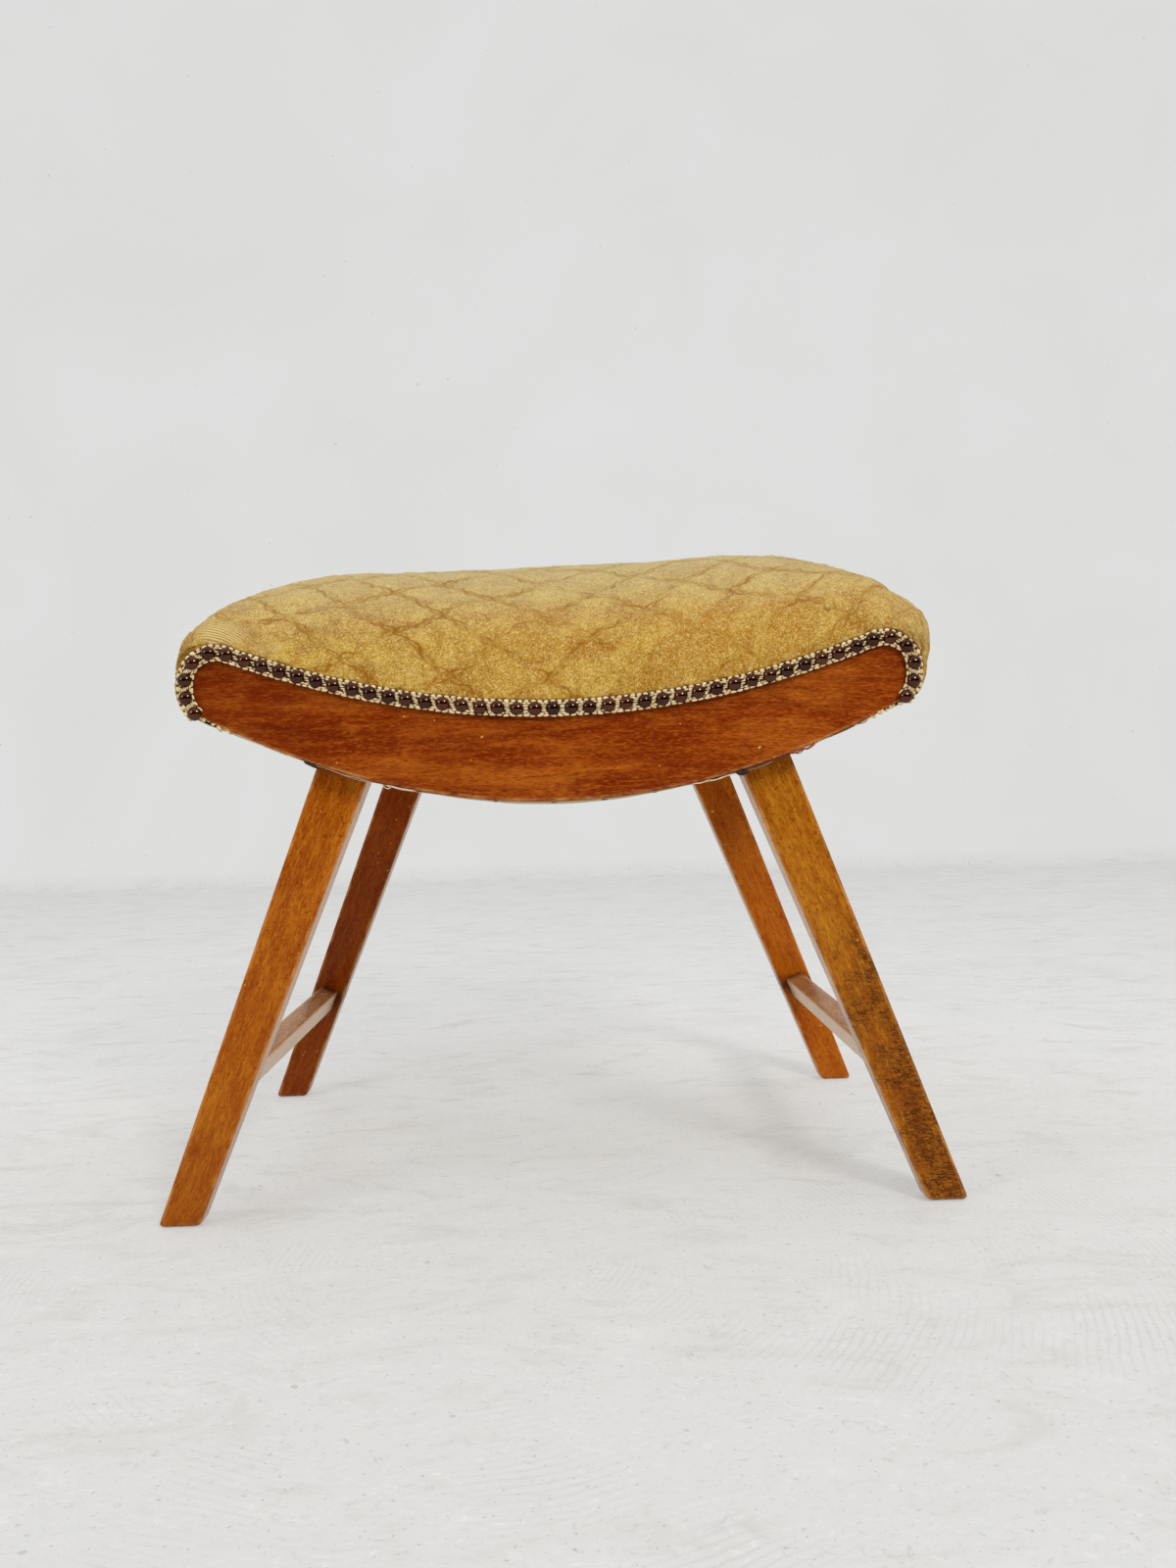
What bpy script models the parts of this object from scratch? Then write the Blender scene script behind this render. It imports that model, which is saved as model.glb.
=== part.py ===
"""Upholstered vanity stool: two crescent rails, four splayed legs and a sprung velvet seat.

The stool stands on the floor at z = 0 with its origin under the middle of the seat.
X runs along the seat, Y from front to back and Z up. All lengths are in metres.
"""
import math

import bmesh
import bpy
from mathutils import Matrix, Vector

# Clearances and cuts
TOUCH_GAP = 0.0003
CLOTH_GAP = 0.0008
STUFFING_GAP = 0.0022
CUT_OVERRUN = 0.002

# Nail line on the show rails: a shallow parabola, a corner arc, a short drop and a tuck
SEAT_HALF_LENGTH = 0.254
NAIL_MARGIN = 0.0035
NAIL_LINE_MID = 0.357
NAIL_LINE_RISE = 0.0421
CORNER_REACH = 0.028
END_DROP = 0.0052
TUCK_RADIUS = 0.022
NAIL_TUCK_ANGLE = math.radians(45)
RAIL_TUCK_ANGLE = math.radians(30)
LINE_STEPS = 12
CORNER_STEPS = 6
TUCK_STEPS = 3

# Show rails, front and back
RAIL_FRONT = 0.1925
RAIL_THICKNESS = 0.019
RAIL_HEIGHT_MID = 0.064
RAIL_EDGE_ROUND = 0.0012
UNDER_STEPS = 24

# End rails and the glued blocks in the corners
END_RAIL_THICKNESS = 0.019
BLOCK_LEG = 0.026
BLOCK_HEIGHT = 0.018
BLOCK_RISE = 0.009

# Legs: flat front faces against the rails, tapering towards the feet
LEG_TOP_RISE = 0.005
LEG_FOOT_SPREAD = 0.0334
LEG_FOOT_WIDTH = 0.0296
LEG_TOP_INSET = 0.1016
LEG_TOP_WIDTH = 0.0409
LEG_FOOT_DEPTH = 0.0165
LEG_TOP_DEPTH = 0.0242
LEG_EDGE_ROUND = 0.0016

# Stretchers, one joining the two legs of each end
STRETCHER_HEIGHT = 0.098
STRETCHER_WIDTH = 0.017
STRETCHER_DEPTH = 0.019
STRETCHER_ROUND = 0.0012
SHOULDER_GAP = 0.0006
TENON_WIDTH = 0.009
TENON_DEPTH = 0.012
TENON_LENGTH = 0.011

# Countersunk screws from each leg into its rail
SCREW_HEIGHT_SHARES = (0.912, 0.967)
SCREW_HEAD_RADIUS = 0.0042
SCREW_HEAD_DEPTH = 0.0028
SCREW_SHANK_RADIUS = 0.0021
SCREW_LENGTH = 0.035
SCREW_TIP = 0.004
SCREW_SUNK = 0.0006
SCREW_STEPS = 8

# Jute webbing inside the frame, long strips beneath the cross strips, ends turned up and tacked
WEBBING_WIDTH = 0.05
WEBBING_THICKNESS = 0.0012
WEBBING_TURN_UP = 0.014
WEBBING_LEG_GAP = 0.0032
LONG_WEB_SHARES = (-0.415, 0.415)
WEB_STEPS = 4

# Waisted coil springs, each following the webbing below and the hessian above
SPRING_SHARES = (-0.84, -0.36, 0.0, 0.36, 0.84)
SPRING_RADIUS = 0.027
SPRING_WAIST = 0.019
SPRING_WIRE = 0.0017
SPRING_TURNS = 4.5
SPRING_POINTS_PER_TURN = 8
SPRING_SEAT_TURNS = 0.75
SPRING_TOP_GAP = 0.002

# Seat surfaces, each a dome on a rectangular plan
SEAT_BULGE_END = 0.0105
SEAT_BULGE_FRONT = 0.003
SEAT_CREST_RISE = 0.1275
SEAT_CREST_LIFT = 0.0208
COVER_THICKNESS = 0.0015
COVER_PLAN_ROUND = 0.012
COVER_HEM_ROUND = 0.001
COVER_HEM_TURN_RISE = 0.014
COVER_HEM_DROP = 0.002
SEAT_LENGTH_POWER = 2.8
SEAT_DEPTH_POWER = 2.1
HESSIAN_END_MARGIN = 0.011
HESSIAN_FRONT_MARGIN = 0.0035
HESSIAN_CROWN = 0.06
HESSIAN_THICKNESS = 0.001
COVER_CELLS = (22, 14)
PAD_CELLS = (16, 10)

# Braid round the show rails with its row of domed nails
GIMP_WIDTH = 0.014
GIMP_THICKNESS = 0.0016
GIMP_OVERHANG = 0.0007
NAIL_HEAD_RADIUS = 0.00475
NAIL_HEAD_HEIGHT = 0.003
NAILS_EACH_SIDE = 23
NAIL_SEGMENTS = 8
NAIL_RINGS = 4

# Bottom cloth, notched round the legs
DUST_CLOTH_THICKNESS = 0.0008
DUST_CLOTH_GAP = 0.0004
DUST_CLOTH_END_MARGIN = 0.008
DUST_CLOTH_FRONT_MARGIN = 0.004
DUST_CLOTH_NOTCH = 0.0015
DUST_CLOTH_STEPS = 20

# Sizes that follow from the driving dimensions
NAIL_END = SEAT_HALF_LENGTH - NAIL_MARGIN
CORNER_START = NAIL_END - CORNER_REACH
CORNER_SLOPE = math.atan2(2 * NAIL_LINE_RISE, CORNER_START)
CORNER_RADIUS = CORNER_REACH / (1 + math.sin(CORNER_SLOPE))
CORNER_X = NAIL_END - CORNER_RADIUS
CORNER_Z = NAIL_LINE_MID + NAIL_LINE_RISE - CORNER_RADIUS * math.cos(CORNER_SLOPE)
TUCK_X = NAIL_END - TUCK_RADIUS
TUCK_Z = CORNER_Z - END_DROP
RAIL_BACK = RAIL_FRONT - RAIL_THICKNESS
RAIL_UNDER_MID = NAIL_LINE_MID - RAIL_HEIGHT_MID
BLOCK_BOTTOM = NAIL_LINE_MID + BLOCK_RISE
LEG_TOP = NAIL_LINE_MID + LEG_TOP_RISE
LEG_FRONT = RAIL_BACK - TOUCH_GAP
LEG_FOOT_OUTER = SEAT_HALF_LENGTH + LEG_FOOT_SPREAD
LEG_TOP_OUTER = SEAT_HALF_LENGTH - LEG_TOP_INSET
LEG_FOOT_INNER = LEG_FOOT_OUTER - LEG_FOOT_WIDTH
LEG_TOP_INNER = LEG_TOP_OUTER - LEG_TOP_WIDTH
WEBBING_HALF_SPAN = RAIL_BACK - TOUCH_GAP
WEBBING_REACH = SEAT_HALF_LENGTH - END_RAIL_THICKNESS - TOUCH_GAP
LONG_WEB_TOP = TOUCH_GAP + WEBBING_THICKNESS
CROSS_WEB_TOP = LONG_WEB_TOP + CLOTH_GAP + WEBBING_THICKNESS
SPRING_PLACES = [share * WEBBING_REACH for share in SPRING_SHARES]
LONG_WEB_PLACES = [share * RAIL_BACK for share in LONG_WEB_SHARES]
HESSIAN_HALF_LENGTH = SEAT_HALF_LENGTH - HESSIAN_END_MARGIN
HESSIAN_HALF_DEPTH = RAIL_FRONT - HESSIAN_FRONT_MARGIN
DUST_CLOTH_REACH = SEAT_HALF_LENGTH - DUST_CLOTH_END_MARGIN
DUST_CLOTH_HALF_DEPTH = RAIL_FRONT - DUST_CLOTH_FRONT_MARGIN
COVER_FRONT = RAIL_FRONT + TOUCH_GAP + COVER_THICKNESS
COVER_END = SEAT_HALF_LENGTH + TOUCH_GAP + COVER_THICKNESS
GIMP_BACK = COVER_FRONT + TOUCH_GAP
GIMP_FRONT = GIMP_BACK + GIMP_THICKNESS
GIMP_REACH = SEAT_HALF_LENGTH + GIMP_OVERHANG
SEAT_CREST_MID = NAIL_LINE_MID + SEAT_CREST_RISE
COVER_HEM_TURN = NAIL_LINE_MID + COVER_HEM_TURN_RISE
COVER_HEM_LOW = NAIL_LINE_MID - COVER_HEM_DROP
SEAT_WIDEST_X = NAIL_END + SEAT_BULGE_END
SEAT_WIDEST_Y = COVER_FRONT + SEAT_BULGE_FRONT

CORNERS = ((-1, -1), (1, -1), (-1, 1), (1, 1))
SIDE_NAMES = {-1: "left", 1: "right"}
FACE_NAMES = {-1: "front", 1: "back"}


def start_scene():
    """Empty the scene and make one collection for the parts and one for the cutters."""
    for old in list(bpy.data.objects):
        bpy.data.objects.remove(old)
    parts = bpy.data.collections.new("vanity_stool")
    cutters = bpy.data.collections.new("cutters")
    bpy.context.scene.collection.children.link(parts)
    bpy.context.scene.collection.children.link(cutters)
    return parts, cutters


PARTS, CUTTERS = start_scene()


def finish(name, colour, roughness, metallic=0.0):
    """A plain material with the piece's colour and gloss."""
    material = bpy.data.materials.new(name)
    material.use_nodes = True
    shader = material.node_tree.nodes["Principled BSDF"]
    shader.inputs["Base Color"].default_value = (*colour, 1.0)
    shader.inputs["Roughness"].default_value = roughness
    shader.inputs["Metallic"].default_value = metallic
    material.diffuse_color = (*colour, 1.0)
    return material


FINISHES = {
    "leg": finish("amber_beech", (0.36, 0.12, 0.02), 0.35),
    "rail": finish("red_brown_beech", (0.30, 0.07, 0.01), 0.35),
    "stretcher": finish("amber_beech_stretcher", (0.33, 0.11, 0.02), 0.35),
    "frame": finish("plain_pine", (0.60, 0.42, 0.24), 0.70),
    "block": finish("plain_pine_block", (0.55, 0.38, 0.22), 0.70),
    "screw": finish("screw_steel", (0.55, 0.54, 0.50), 0.40, 1.0),
    "spring": finish("spring_steel", (0.35, 0.22, 0.12), 0.45, 1.0),
    "webbing": finish("jute_webbing", (0.45, 0.33, 0.18), 0.90),
    "hessian": finish("hessian_cloth", (0.42, 0.31, 0.18), 0.95),
    "stuffing": finish("fibre_stuffing", (0.50, 0.42, 0.30), 0.95),
    "cover": finish("mustard_velvet", (0.58, 0.38, 0.11), 0.80),
    "gimp": finish("cream_braid", (0.70, 0.52, 0.26), 0.85),
    "dust": finish("cream_calico", (0.66, 0.56, 0.38), 0.90),
}


def add_object(name, mesh, kind, cutter=False):
    """Put a mesh in the scene as a named part, or as a hidden cutter."""
    piece = bpy.data.objects.new(name, mesh)
    if cutter:
        CUTTERS.objects.link(piece)
        piece.hide_render = True
        piece.display_type = "WIRE"
    else:
        PARTS.objects.link(piece)
        mesh.materials.append(FINISHES[kind])
    return piece


def round_edges(piece, width):
    """Break the sharp edges of a piece with a narrow bevel."""
    bevel = piece.modifiers.new("rounded_edges", "BEVEL")
    bevel.width = width
    bevel.segments = 1
    bevel.limit_method = "ANGLE"
    bevel.angle_limit = math.radians(40)


def cut(piece, cutter):
    """Take a cutter's shape out of a piece."""
    boolean = piece.modifiers.new("cut_" + cutter.name, "BOOLEAN")
    boolean.operation = "DIFFERENCE"
    boolean.object = cutter


def join(piece, other):
    """Merge another solid into a piece."""
    boolean = piece.modifiers.new("join_" + other.name, "BOOLEAN")
    boolean.operation = "UNION"
    boolean.object = other


def block(name, size, place, tilt, kind, cutter=False):
    """A box of a given size, turned about Y by tilt."""
    shape = bmesh.new()
    bmesh.ops.create_cube(shape, size=1)
    bmesh.ops.scale(shape, vec=size, verts=shape.verts)
    mesh = bpy.data.meshes.new(name)
    shape.to_mesh(mesh)
    shape.free()
    piece = add_object(name, mesh, kind, cutter)
    piece.location = place
    piece.rotation_euler.y = tilt
    return piece


def plate(name, outline, thickness, centre_y, kind, cutter=False):
    """A flat board in the XZ plane from its outline, made a mesh so that it can be cut."""
    curve = bpy.data.curves.new(name, "CURVE")
    curve.dimensions = "2D"
    curve.fill_mode = "BOTH"
    curve.extrude = thickness / 2
    spline = curve.splines.new("POLY")
    spline.points.add(len(outline) - 1)
    for point, (x, z) in zip(spline.points, outline):
        point.co = (x, z, 0, 1)
    spline.use_cyclic_u = True
    drawn = bpy.data.objects.new(name + "_outline", curve)
    PARTS.objects.link(drawn)
    drawn.location.y = centre_y
    drawn.rotation_euler.x = math.radians(90)
    bpy.context.view_layer.update()
    place = drawn.matrix_world.copy()
    evaluated = drawn.evaluated_get(bpy.context.evaluated_depsgraph_get())
    mesh = bpy.data.meshes.new_from_object(evaluated)
    bpy.data.objects.remove(drawn)
    shape = bmesh.new()
    shape.from_mesh(mesh)
    bmesh.ops.remove_doubles(shape, verts=shape.verts, dist=TOUCH_GAP / 10)
    bmesh.ops.dissolve_limit(
        shape, angle_limit=math.radians(0.5), verts=shape.verts, edges=shape.edges)
    bmesh.ops.recalc_face_normals(shape, faces=shape.faces)
    shape.to_mesh(mesh)
    shape.free()
    mesh.name = name
    mesh.materials.clear()
    piece = add_object(name, mesh, kind, cutter)
    piece.matrix_world = place
    return piece


def mirrored(half):
    """A whole outline from its right half, which starts on the centre line."""
    left = [(-x, z) for x, z in reversed(half) if x > TOUCH_GAP]
    return left + list(half)


def rim_point(x, offset):
    """Height of the nail line at x, moved outwards by offset."""
    x = abs(x)
    radius = CORNER_RADIUS + offset
    turn = CORNER_X - radius * math.sin(CORNER_SLOPE)
    if x <= turn:
        return NAIL_LINE_MID + offset + NAIL_LINE_RISE * (x / CORNER_START) ** 2
    return CORNER_Z + math.sqrt(max(radius ** 2 - (x - CORNER_X) ** 2, 0))


def rim_half(offset, tuck_angle):
    """The right half of the nail line, moved outwards by offset, from the middle down to the tuck."""
    radius = CORNER_RADIUS + offset
    turn = CORNER_X - radius * math.sin(CORNER_SLOPE)
    points = []
    for step in range(LINE_STEPS):
        x = turn * step / LINE_STEPS
        points.append((x, rim_point(x, offset)))
    first = math.pi / 2 + CORNER_SLOPE
    for step in range(CORNER_STEPS + 1):
        angle = first * (1 - step / CORNER_STEPS)
        points.append((CORNER_X + radius * math.cos(angle), CORNER_Z + radius * math.sin(angle)))
    radius = TUCK_RADIUS + offset
    for step in range(TUCK_STEPS + 1):
        angle = tuck_angle * step / TUCK_STEPS
        points.append((TUCK_X + radius * math.cos(angle), TUCK_Z - radius * math.sin(angle)))
    return points


def under_height(x):
    """Height of the rails' curved bottom edge at x."""
    end_x, end_z = rim_half(NAIL_MARGIN, RAIL_TUCK_ANGLE)[-1]
    return RAIL_UNDER_MID + (end_z - RAIL_UNDER_MID) * (x / end_x) ** 2


def show_rail(face):
    """A crescent board across the front or the back of the stool."""
    top = rim_half(NAIL_MARGIN, RAIL_TUCK_ANGLE)
    end_x = top[-1][0]
    under = []
    for step in range(1, UNDER_STEPS // 2 + 1):
        x = end_x * (1 - 2 * step / UNDER_STEPS)
        under.append((x, under_height(x)))
    right = top + under
    outline = right + [(-x, z) for x, z in reversed(right) if x > TOUCH_GAP]
    centre = face * (RAIL_FRONT + RAIL_BACK) / 2
    piece = plate(FACE_NAMES[face] + "_rail", outline, RAIL_THICKNESS, centre, "rail")
    round_edges(piece, RAIL_EDGE_ROUND)
    return piece


def end_rail(side):
    """A short board across one end, shaped like the end of the show rails."""
    rim = rim_half(NAIL_MARGIN, RAIL_TUCK_ANGLE)[LINE_STEPS:]
    inner_x = SEAT_HALF_LENGTH - END_RAIL_THICKNESS
    outline = [(x, z) for x, z in rim if x > inner_x]
    outline.insert(0, (inner_x, rim_point(inner_x, NAIL_MARGIN)))
    outline.append((inner_x, under_height(inner_x)))
    outline = [(side * x, z) for x, z in outline]
    depth = 2 * (RAIL_BACK - TOUCH_GAP)
    return plate(SIDE_NAMES[side] + "_end_rail", outline, depth, 0, "frame")


def corner_block(side, face):
    """A triangular block glued into the corner between an end rail and a show rail."""
    name = "corner_block_" + FACE_NAMES[face] + "_" + SIDE_NAMES[side]
    shape = bmesh.new()
    bmesh.ops.create_cube(shape, size=BLOCK_LEG)
    bmesh.ops.scale(shape, vec=(1, 1, BLOCK_HEIGHT / BLOCK_LEG), verts=shape.verts)
    for corner in shape.verts:
        if corner.co.x * side < 0 and corner.co.y * face < 0:
            corner.co.y = -corner.co.y
    bmesh.ops.remove_doubles(shape, verts=shape.verts, dist=TOUCH_GAP / 10)
    mesh = bpy.data.meshes.new(name)
    shape.to_mesh(mesh)
    shape.free()
    piece = add_object(name, mesh, "block")
    half = BLOCK_LEG / 2
    piece.location.x = side * (SEAT_HALF_LENGTH - END_RAIL_THICKNESS - TOUCH_GAP - half)
    piece.location.y = face * (RAIL_BACK - TOUCH_GAP - half)
    piece.location.z = BLOCK_BOTTOM + BLOCK_HEIGHT / 2
    return piece


def leg_share(z):
    """How far up the leg a height lies, from 0 at the floor to 1 at the leg's top."""
    return z / LEG_TOP


def leg_middle(z):
    """Distance of the leg's centre line from the middle of the stool at a height."""
    foot = (LEG_FOOT_OUTER + LEG_FOOT_INNER) / 2
    top = (LEG_TOP_OUTER + LEG_TOP_INNER) / 2
    return foot + (top - foot) * leg_share(z)


def leg_outer(z):
    """Distance of the leg's outer face from the middle of the stool at a height."""
    return LEG_FOOT_OUTER + (LEG_TOP_OUTER - LEG_FOOT_OUTER) * leg_share(z)


def leg_back(z):
    """Distance of the leg's inward face from the centre plane at a height."""
    return LEG_FRONT - LEG_FOOT_DEPTH - (LEG_TOP_DEPTH - LEG_FOOT_DEPTH) * leg_share(z)


LEG_TILT = math.atan2(leg_middle(0) - leg_middle(LEG_TOP), LEG_TOP)


def leg_shape(name, side, face, grow=0, cutter=False):
    """A tapered square leg, or a cutter of the same shape grown all round."""
    shape = bmesh.new()
    bmesh.ops.create_cube(shape, size=1)
    for corner in shape.verts:
        up = corner.co.z > 0
        outer = corner.co.x > 0
        front = corner.co.y > 0
        if outer:
            x = (LEG_TOP_OUTER if up else LEG_FOOT_OUTER) + grow
        else:
            x = (LEG_TOP_INNER if up else LEG_FOOT_INNER) - grow
        height = LEG_TOP if up else 0
        y = LEG_FRONT + grow if front else leg_back(height) - grow
        corner.co = (side * x, face * y, height)
    if side * face < 0:
        bmesh.ops.reverse_faces(shape, faces=shape.faces)
    mesh = bpy.data.meshes.new(name)
    shape.to_mesh(mesh)
    shape.free()
    return add_object(name, mesh, "leg", cutter)


def leg(side, face):
    """One leg with its edges broken."""
    piece = leg_shape("leg_" + FACE_NAMES[face] + "_" + SIDE_NAMES[side], side, face)
    round_edges(piece, LEG_EDGE_ROUND)
    return piece


def stretcher(side, legs):
    """A bar tenoned into the front and back legs of one end."""
    name = "stretcher_" + SIDE_NAMES[side]
    place = (side * leg_middle(STRETCHER_HEIGHT), 0, STRETCHER_HEIGHT)
    shoulder = leg_back(STRETCHER_HEIGHT) - SHOULDER_GAP
    tenon_end = leg_back(STRETCHER_HEIGHT) + TENON_LENGTH
    body_size = (STRETCHER_WIDTH, 2 * shoulder, STRETCHER_DEPTH)
    tenon_size = (TENON_WIDTH, 2 * tenon_end, TENON_DEPTH)
    slot_size = tuple(length + 2 * TOUCH_GAP for length in tenon_size)
    tilt = -side * LEG_TILT
    bar = block(name, body_size, place, tilt, "stretcher")
    round_edges(bar, STRETCHER_ROUND)
    tenons = block(name + "_tenons", tenon_size, place, tilt, "stretcher", cutter=True)
    join(bar, tenons)
    slot = block(name + "_slot", slot_size, place, tilt, "stretcher", cutter=True)
    for face in (-1, 1):
        cut(legs[side, face], slot)
    return bar


def turned(name, profile, steps, kind, cutter=False):
    """A shape turned about Z from a profile of radius and height, listed from top to bottom."""
    mesh = bpy.data.meshes.new(name)
    points = [(radius, 0, height) for radius, height in profile]
    edges = [(number, number + 1) for number in range(len(points) - 1)]
    mesh.from_pydata(points, edges, [])
    piece = add_object(name, mesh, kind, cutter)
    lathe = piece.modifiers.new("turning", "SCREW")
    lathe.steps = steps
    lathe.render_steps = steps
    lathe.use_merge_vertices = True
    lathe.merge_threshold = TOUCH_GAP / 10
    return piece


def screw_profile(grow, above):
    """Half the outline of a countersunk screw, grown for its hole and carried above its head."""
    head = SCREW_HEAD_RADIUS + grow
    shank = SCREW_SHANK_RADIUS + grow
    tip = -SCREW_LENGTH - grow
    head_side = [(head, above), (head, -grow)] if above > 0 else [(head, 0)]
    return [(0, above)] + head_side + [
        (shank, -SCREW_HEAD_DEPTH - grow),
        (shank, tip + SCREW_TIP),
        (0, tip),
    ]


def leg_screws(side, face, leg_piece, rail):
    """Two screws through a leg into its show rail, with their holes."""
    for number, share in enumerate(SCREW_HEIGHT_SHARES, start=1):
        height = share * LEG_TOP
        name = "leg_screw_" + FACE_NAMES[face] + "_" + SIDE_NAMES[side] + "_" + str(number)
        screw = turned(name, screw_profile(0, 0), SCREW_STEPS, "screw")
        hole = turned(
            name + "_hole", screw_profile(TOUCH_GAP, CUT_OVERRUN), SCREW_STEPS, "screw", cutter=True)
        for item in (screw, hole):
            item.location = (side * leg_middle(height), face * (leg_back(height) + SCREW_SUNK), height)
            item.rotation_euler.x = face * math.radians(90)
        cut(leg_piece, hole)
        cut(rail, hole)


def strip_line(start_x, end_x, steps, rise):
    """Points along the rails' curved bottom edge between two places along X, raised by rise."""
    line = []
    for step in range(steps + 1):
        x = start_x + (end_x - start_x) * step / steps
        line.append((x, under_height(x) + rise))
    return line


def band(name, start_x, end_x, steps, top, thickness, half_depth, centre_y, kind, cutter=False):
    """A thin strip that follows the rails' bottom edge, its upper face at top above that edge."""
    upper = strip_line(start_x, end_x, steps, top)
    lower = strip_line(start_x, end_x, steps, top - thickness)
    return plate(name, upper + lower[::-1], 2 * half_depth, centre_y, kind, cutter)


def cross_strip(name, place):
    """A strip from front to back, its ends turned up against the show rails' inner faces."""
    start, end = place - WEBBING_WIDTH / 2, place + WEBBING_WIDTH / 2
    strip = band(name, start, end, WEB_STEPS, CROSS_WEB_TOP, WEBBING_THICKNESS,
                 WEBBING_HALF_SPAN, 0, "webbing")
    flap_top = CROSS_WEB_TOP + WEBBING_TURN_UP
    flap_height = WEBBING_TURN_UP + WEBBING_THICKNESS / 2
    for face in (-1, 1):
        centre = face * (WEBBING_HALF_SPAN - WEBBING_THICKNESS / 2)
        flap = band(name + "_" + FACE_NAMES[face] + "_flap", start, end, WEB_STEPS, flap_top,
                    flap_height, WEBBING_THICKNESS / 2, centre, "webbing", cutter=True)
        join(strip, flap)


def long_strip(name, place):
    """A strip from end to end, its ends turned up against the end rails' inner faces."""
    inner = WEBBING_REACH - WEBBING_THICKNESS
    lower = strip_line(-WEBBING_REACH, WEBBING_REACH, DUST_CLOTH_STEPS, TOUCH_GAP)
    upper = strip_line(inner, -inner, DUST_CLOTH_STEPS, LONG_WEB_TOP)
    flap_top = under_height(WEBBING_REACH) + LONG_WEB_TOP + WEBBING_TURN_UP
    right = [(WEBBING_REACH, flap_top), (inner, flap_top)]
    left = [(-inner, flap_top), (-WEBBING_REACH, flap_top)]
    plate(name, lower + right + upper + left, WEBBING_WIDTH, place, "webbing")


def webbing():
    """Cross strips under the springs, the outer two beside the legs, and two long strips."""
    beside_leg = leg_outer(under_height(LEG_TOP_OUTER)) + WEBBING_LEG_GAP + WEBBING_WIDTH / 2
    cross_places = [-beside_leg] + SPRING_PLACES[1:-1] + [beside_leg]
    for number, place in enumerate(cross_places, start=1):
        cross_strip("cross_webbing_" + str(number), place)
    for number, place in enumerate(LONG_WEB_PLACES, start=1):
        long_strip("long_webbing_" + str(number), place)


def dust_cloth():
    """The bottom cloth, tacked under the rails and notched round the legs."""
    cloth = band("dust_cloth", -DUST_CLOTH_REACH, DUST_CLOTH_REACH, DUST_CLOTH_STEPS,
                 -DUST_CLOTH_GAP, DUST_CLOTH_THICKNESS, DUST_CLOTH_HALF_DEPTH, 0, "dust")
    for side, face in CORNERS:
        name = "notch_" + FACE_NAMES[face] + "_" + SIDE_NAMES[side]
        cut(cloth, leg_shape(name, side, face, DUST_CLOTH_NOTCH, cutter=True))
    return cloth


def dome_share(x, half_x, y, half_y):
    """How high a dome stands over its plan, from 0 at the edge to 1 at the middle."""
    along = max(1 - abs(x / half_x) ** SEAT_LENGTH_POWER, 0) ** (1 / SEAT_LENGTH_POWER)
    across = max(1 - abs(y / half_y) ** SEAT_DEPTH_POWER, 0) ** (1 / SEAT_DEPTH_POWER)
    return along, across


def cover_height(x, y):
    """Height of the cover's outer face above a place on the plan."""
    along, across = dome_share(x, SEAT_WIDEST_X, y, SEAT_WIDEST_Y)
    low = rim_point(x, SEAT_BULGE_END)
    crest = SEAT_CREST_MID + SEAT_CREST_LIFT * (x / SEAT_WIDEST_X) ** 2
    high = max(CORNER_Z + (crest - CORNER_Z) * along, low)
    return low + (high - low) * across


def hessian_height(x, y):
    """Height of the hessian's lower face above a place on the plan."""
    along, across = dome_share(x, HESSIAN_HALF_LENGTH, y, HESSIAN_HALF_DEPTH)
    return rim_point(x, NAIL_MARGIN) + CLOTH_GAP + HESSIAN_CROWN * along * across


def stuffing_height(x, y):
    """Height of the stuffing's top, kept clear of the cover's inner face."""
    step = STUFFING_GAP
    slope_x = (cover_height(x + step, y) - cover_height(x - step, y)) / (2 * step)
    slope_y = (cover_height(x, y + step) - cover_height(x, y - step)) / (2 * step)
    steepness = math.sqrt(1 + slope_x ** 2 + slope_y ** 2)
    return cover_height(x, y) - (COVER_THICKNESS + STUFFING_GAP) * steepness


def round_plan(x, y, half_x, half_y, radius):
    """Pull a place near a corner of the plan in to a rounded corner."""
    past_x = abs(x) - (half_x - radius)
    past_y = abs(y) - (half_y - radius)
    if past_x <= 0 or past_y <= 0:
        return x, y
    pull = max(past_x, past_y) / math.hypot(past_x, past_y)
    new_x = math.copysign(half_x - radius + past_x * pull, x)
    new_y = math.copysign(half_y - radius + past_y * pull, y)
    return new_x, new_y


def plan_grid(shape, cells, half_x, half_y):
    """A grid over the plan whose lines crowd towards the edges."""
    grid = bmesh.ops.create_grid(shape, x_segments=cells[0], y_segments=cells[1], size=1)
    for corner in grid["verts"]:
        corner.co.x = half_x * math.sin(corner.co.x * math.pi / 2)
        corner.co.y = half_y * math.sin(corner.co.y * math.pi / 2)


def hem_place(x, y, offset, end_height):
    """Where the cover's border lies: along the nail line in front, low down at the ends."""
    at_end = abs(x) > SEAT_WIDEST_X - TOUCH_GAP
    flat_x = min(abs(x) / SEAT_WIDEST_X * (NAIL_END + offset), COVER_END)
    flat_x = math.copysign(COVER_END if at_end else flat_x, x)
    flat_y = y / SEAT_WIDEST_Y * COVER_FRONT
    z = end_height if at_end else rim_point(flat_x, offset)
    flat_x, flat_y = round_plan(flat_x, flat_y, COVER_END, COVER_FRONT, COVER_HEM_ROUND)
    return Vector((flat_x, flat_y, z))


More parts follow.
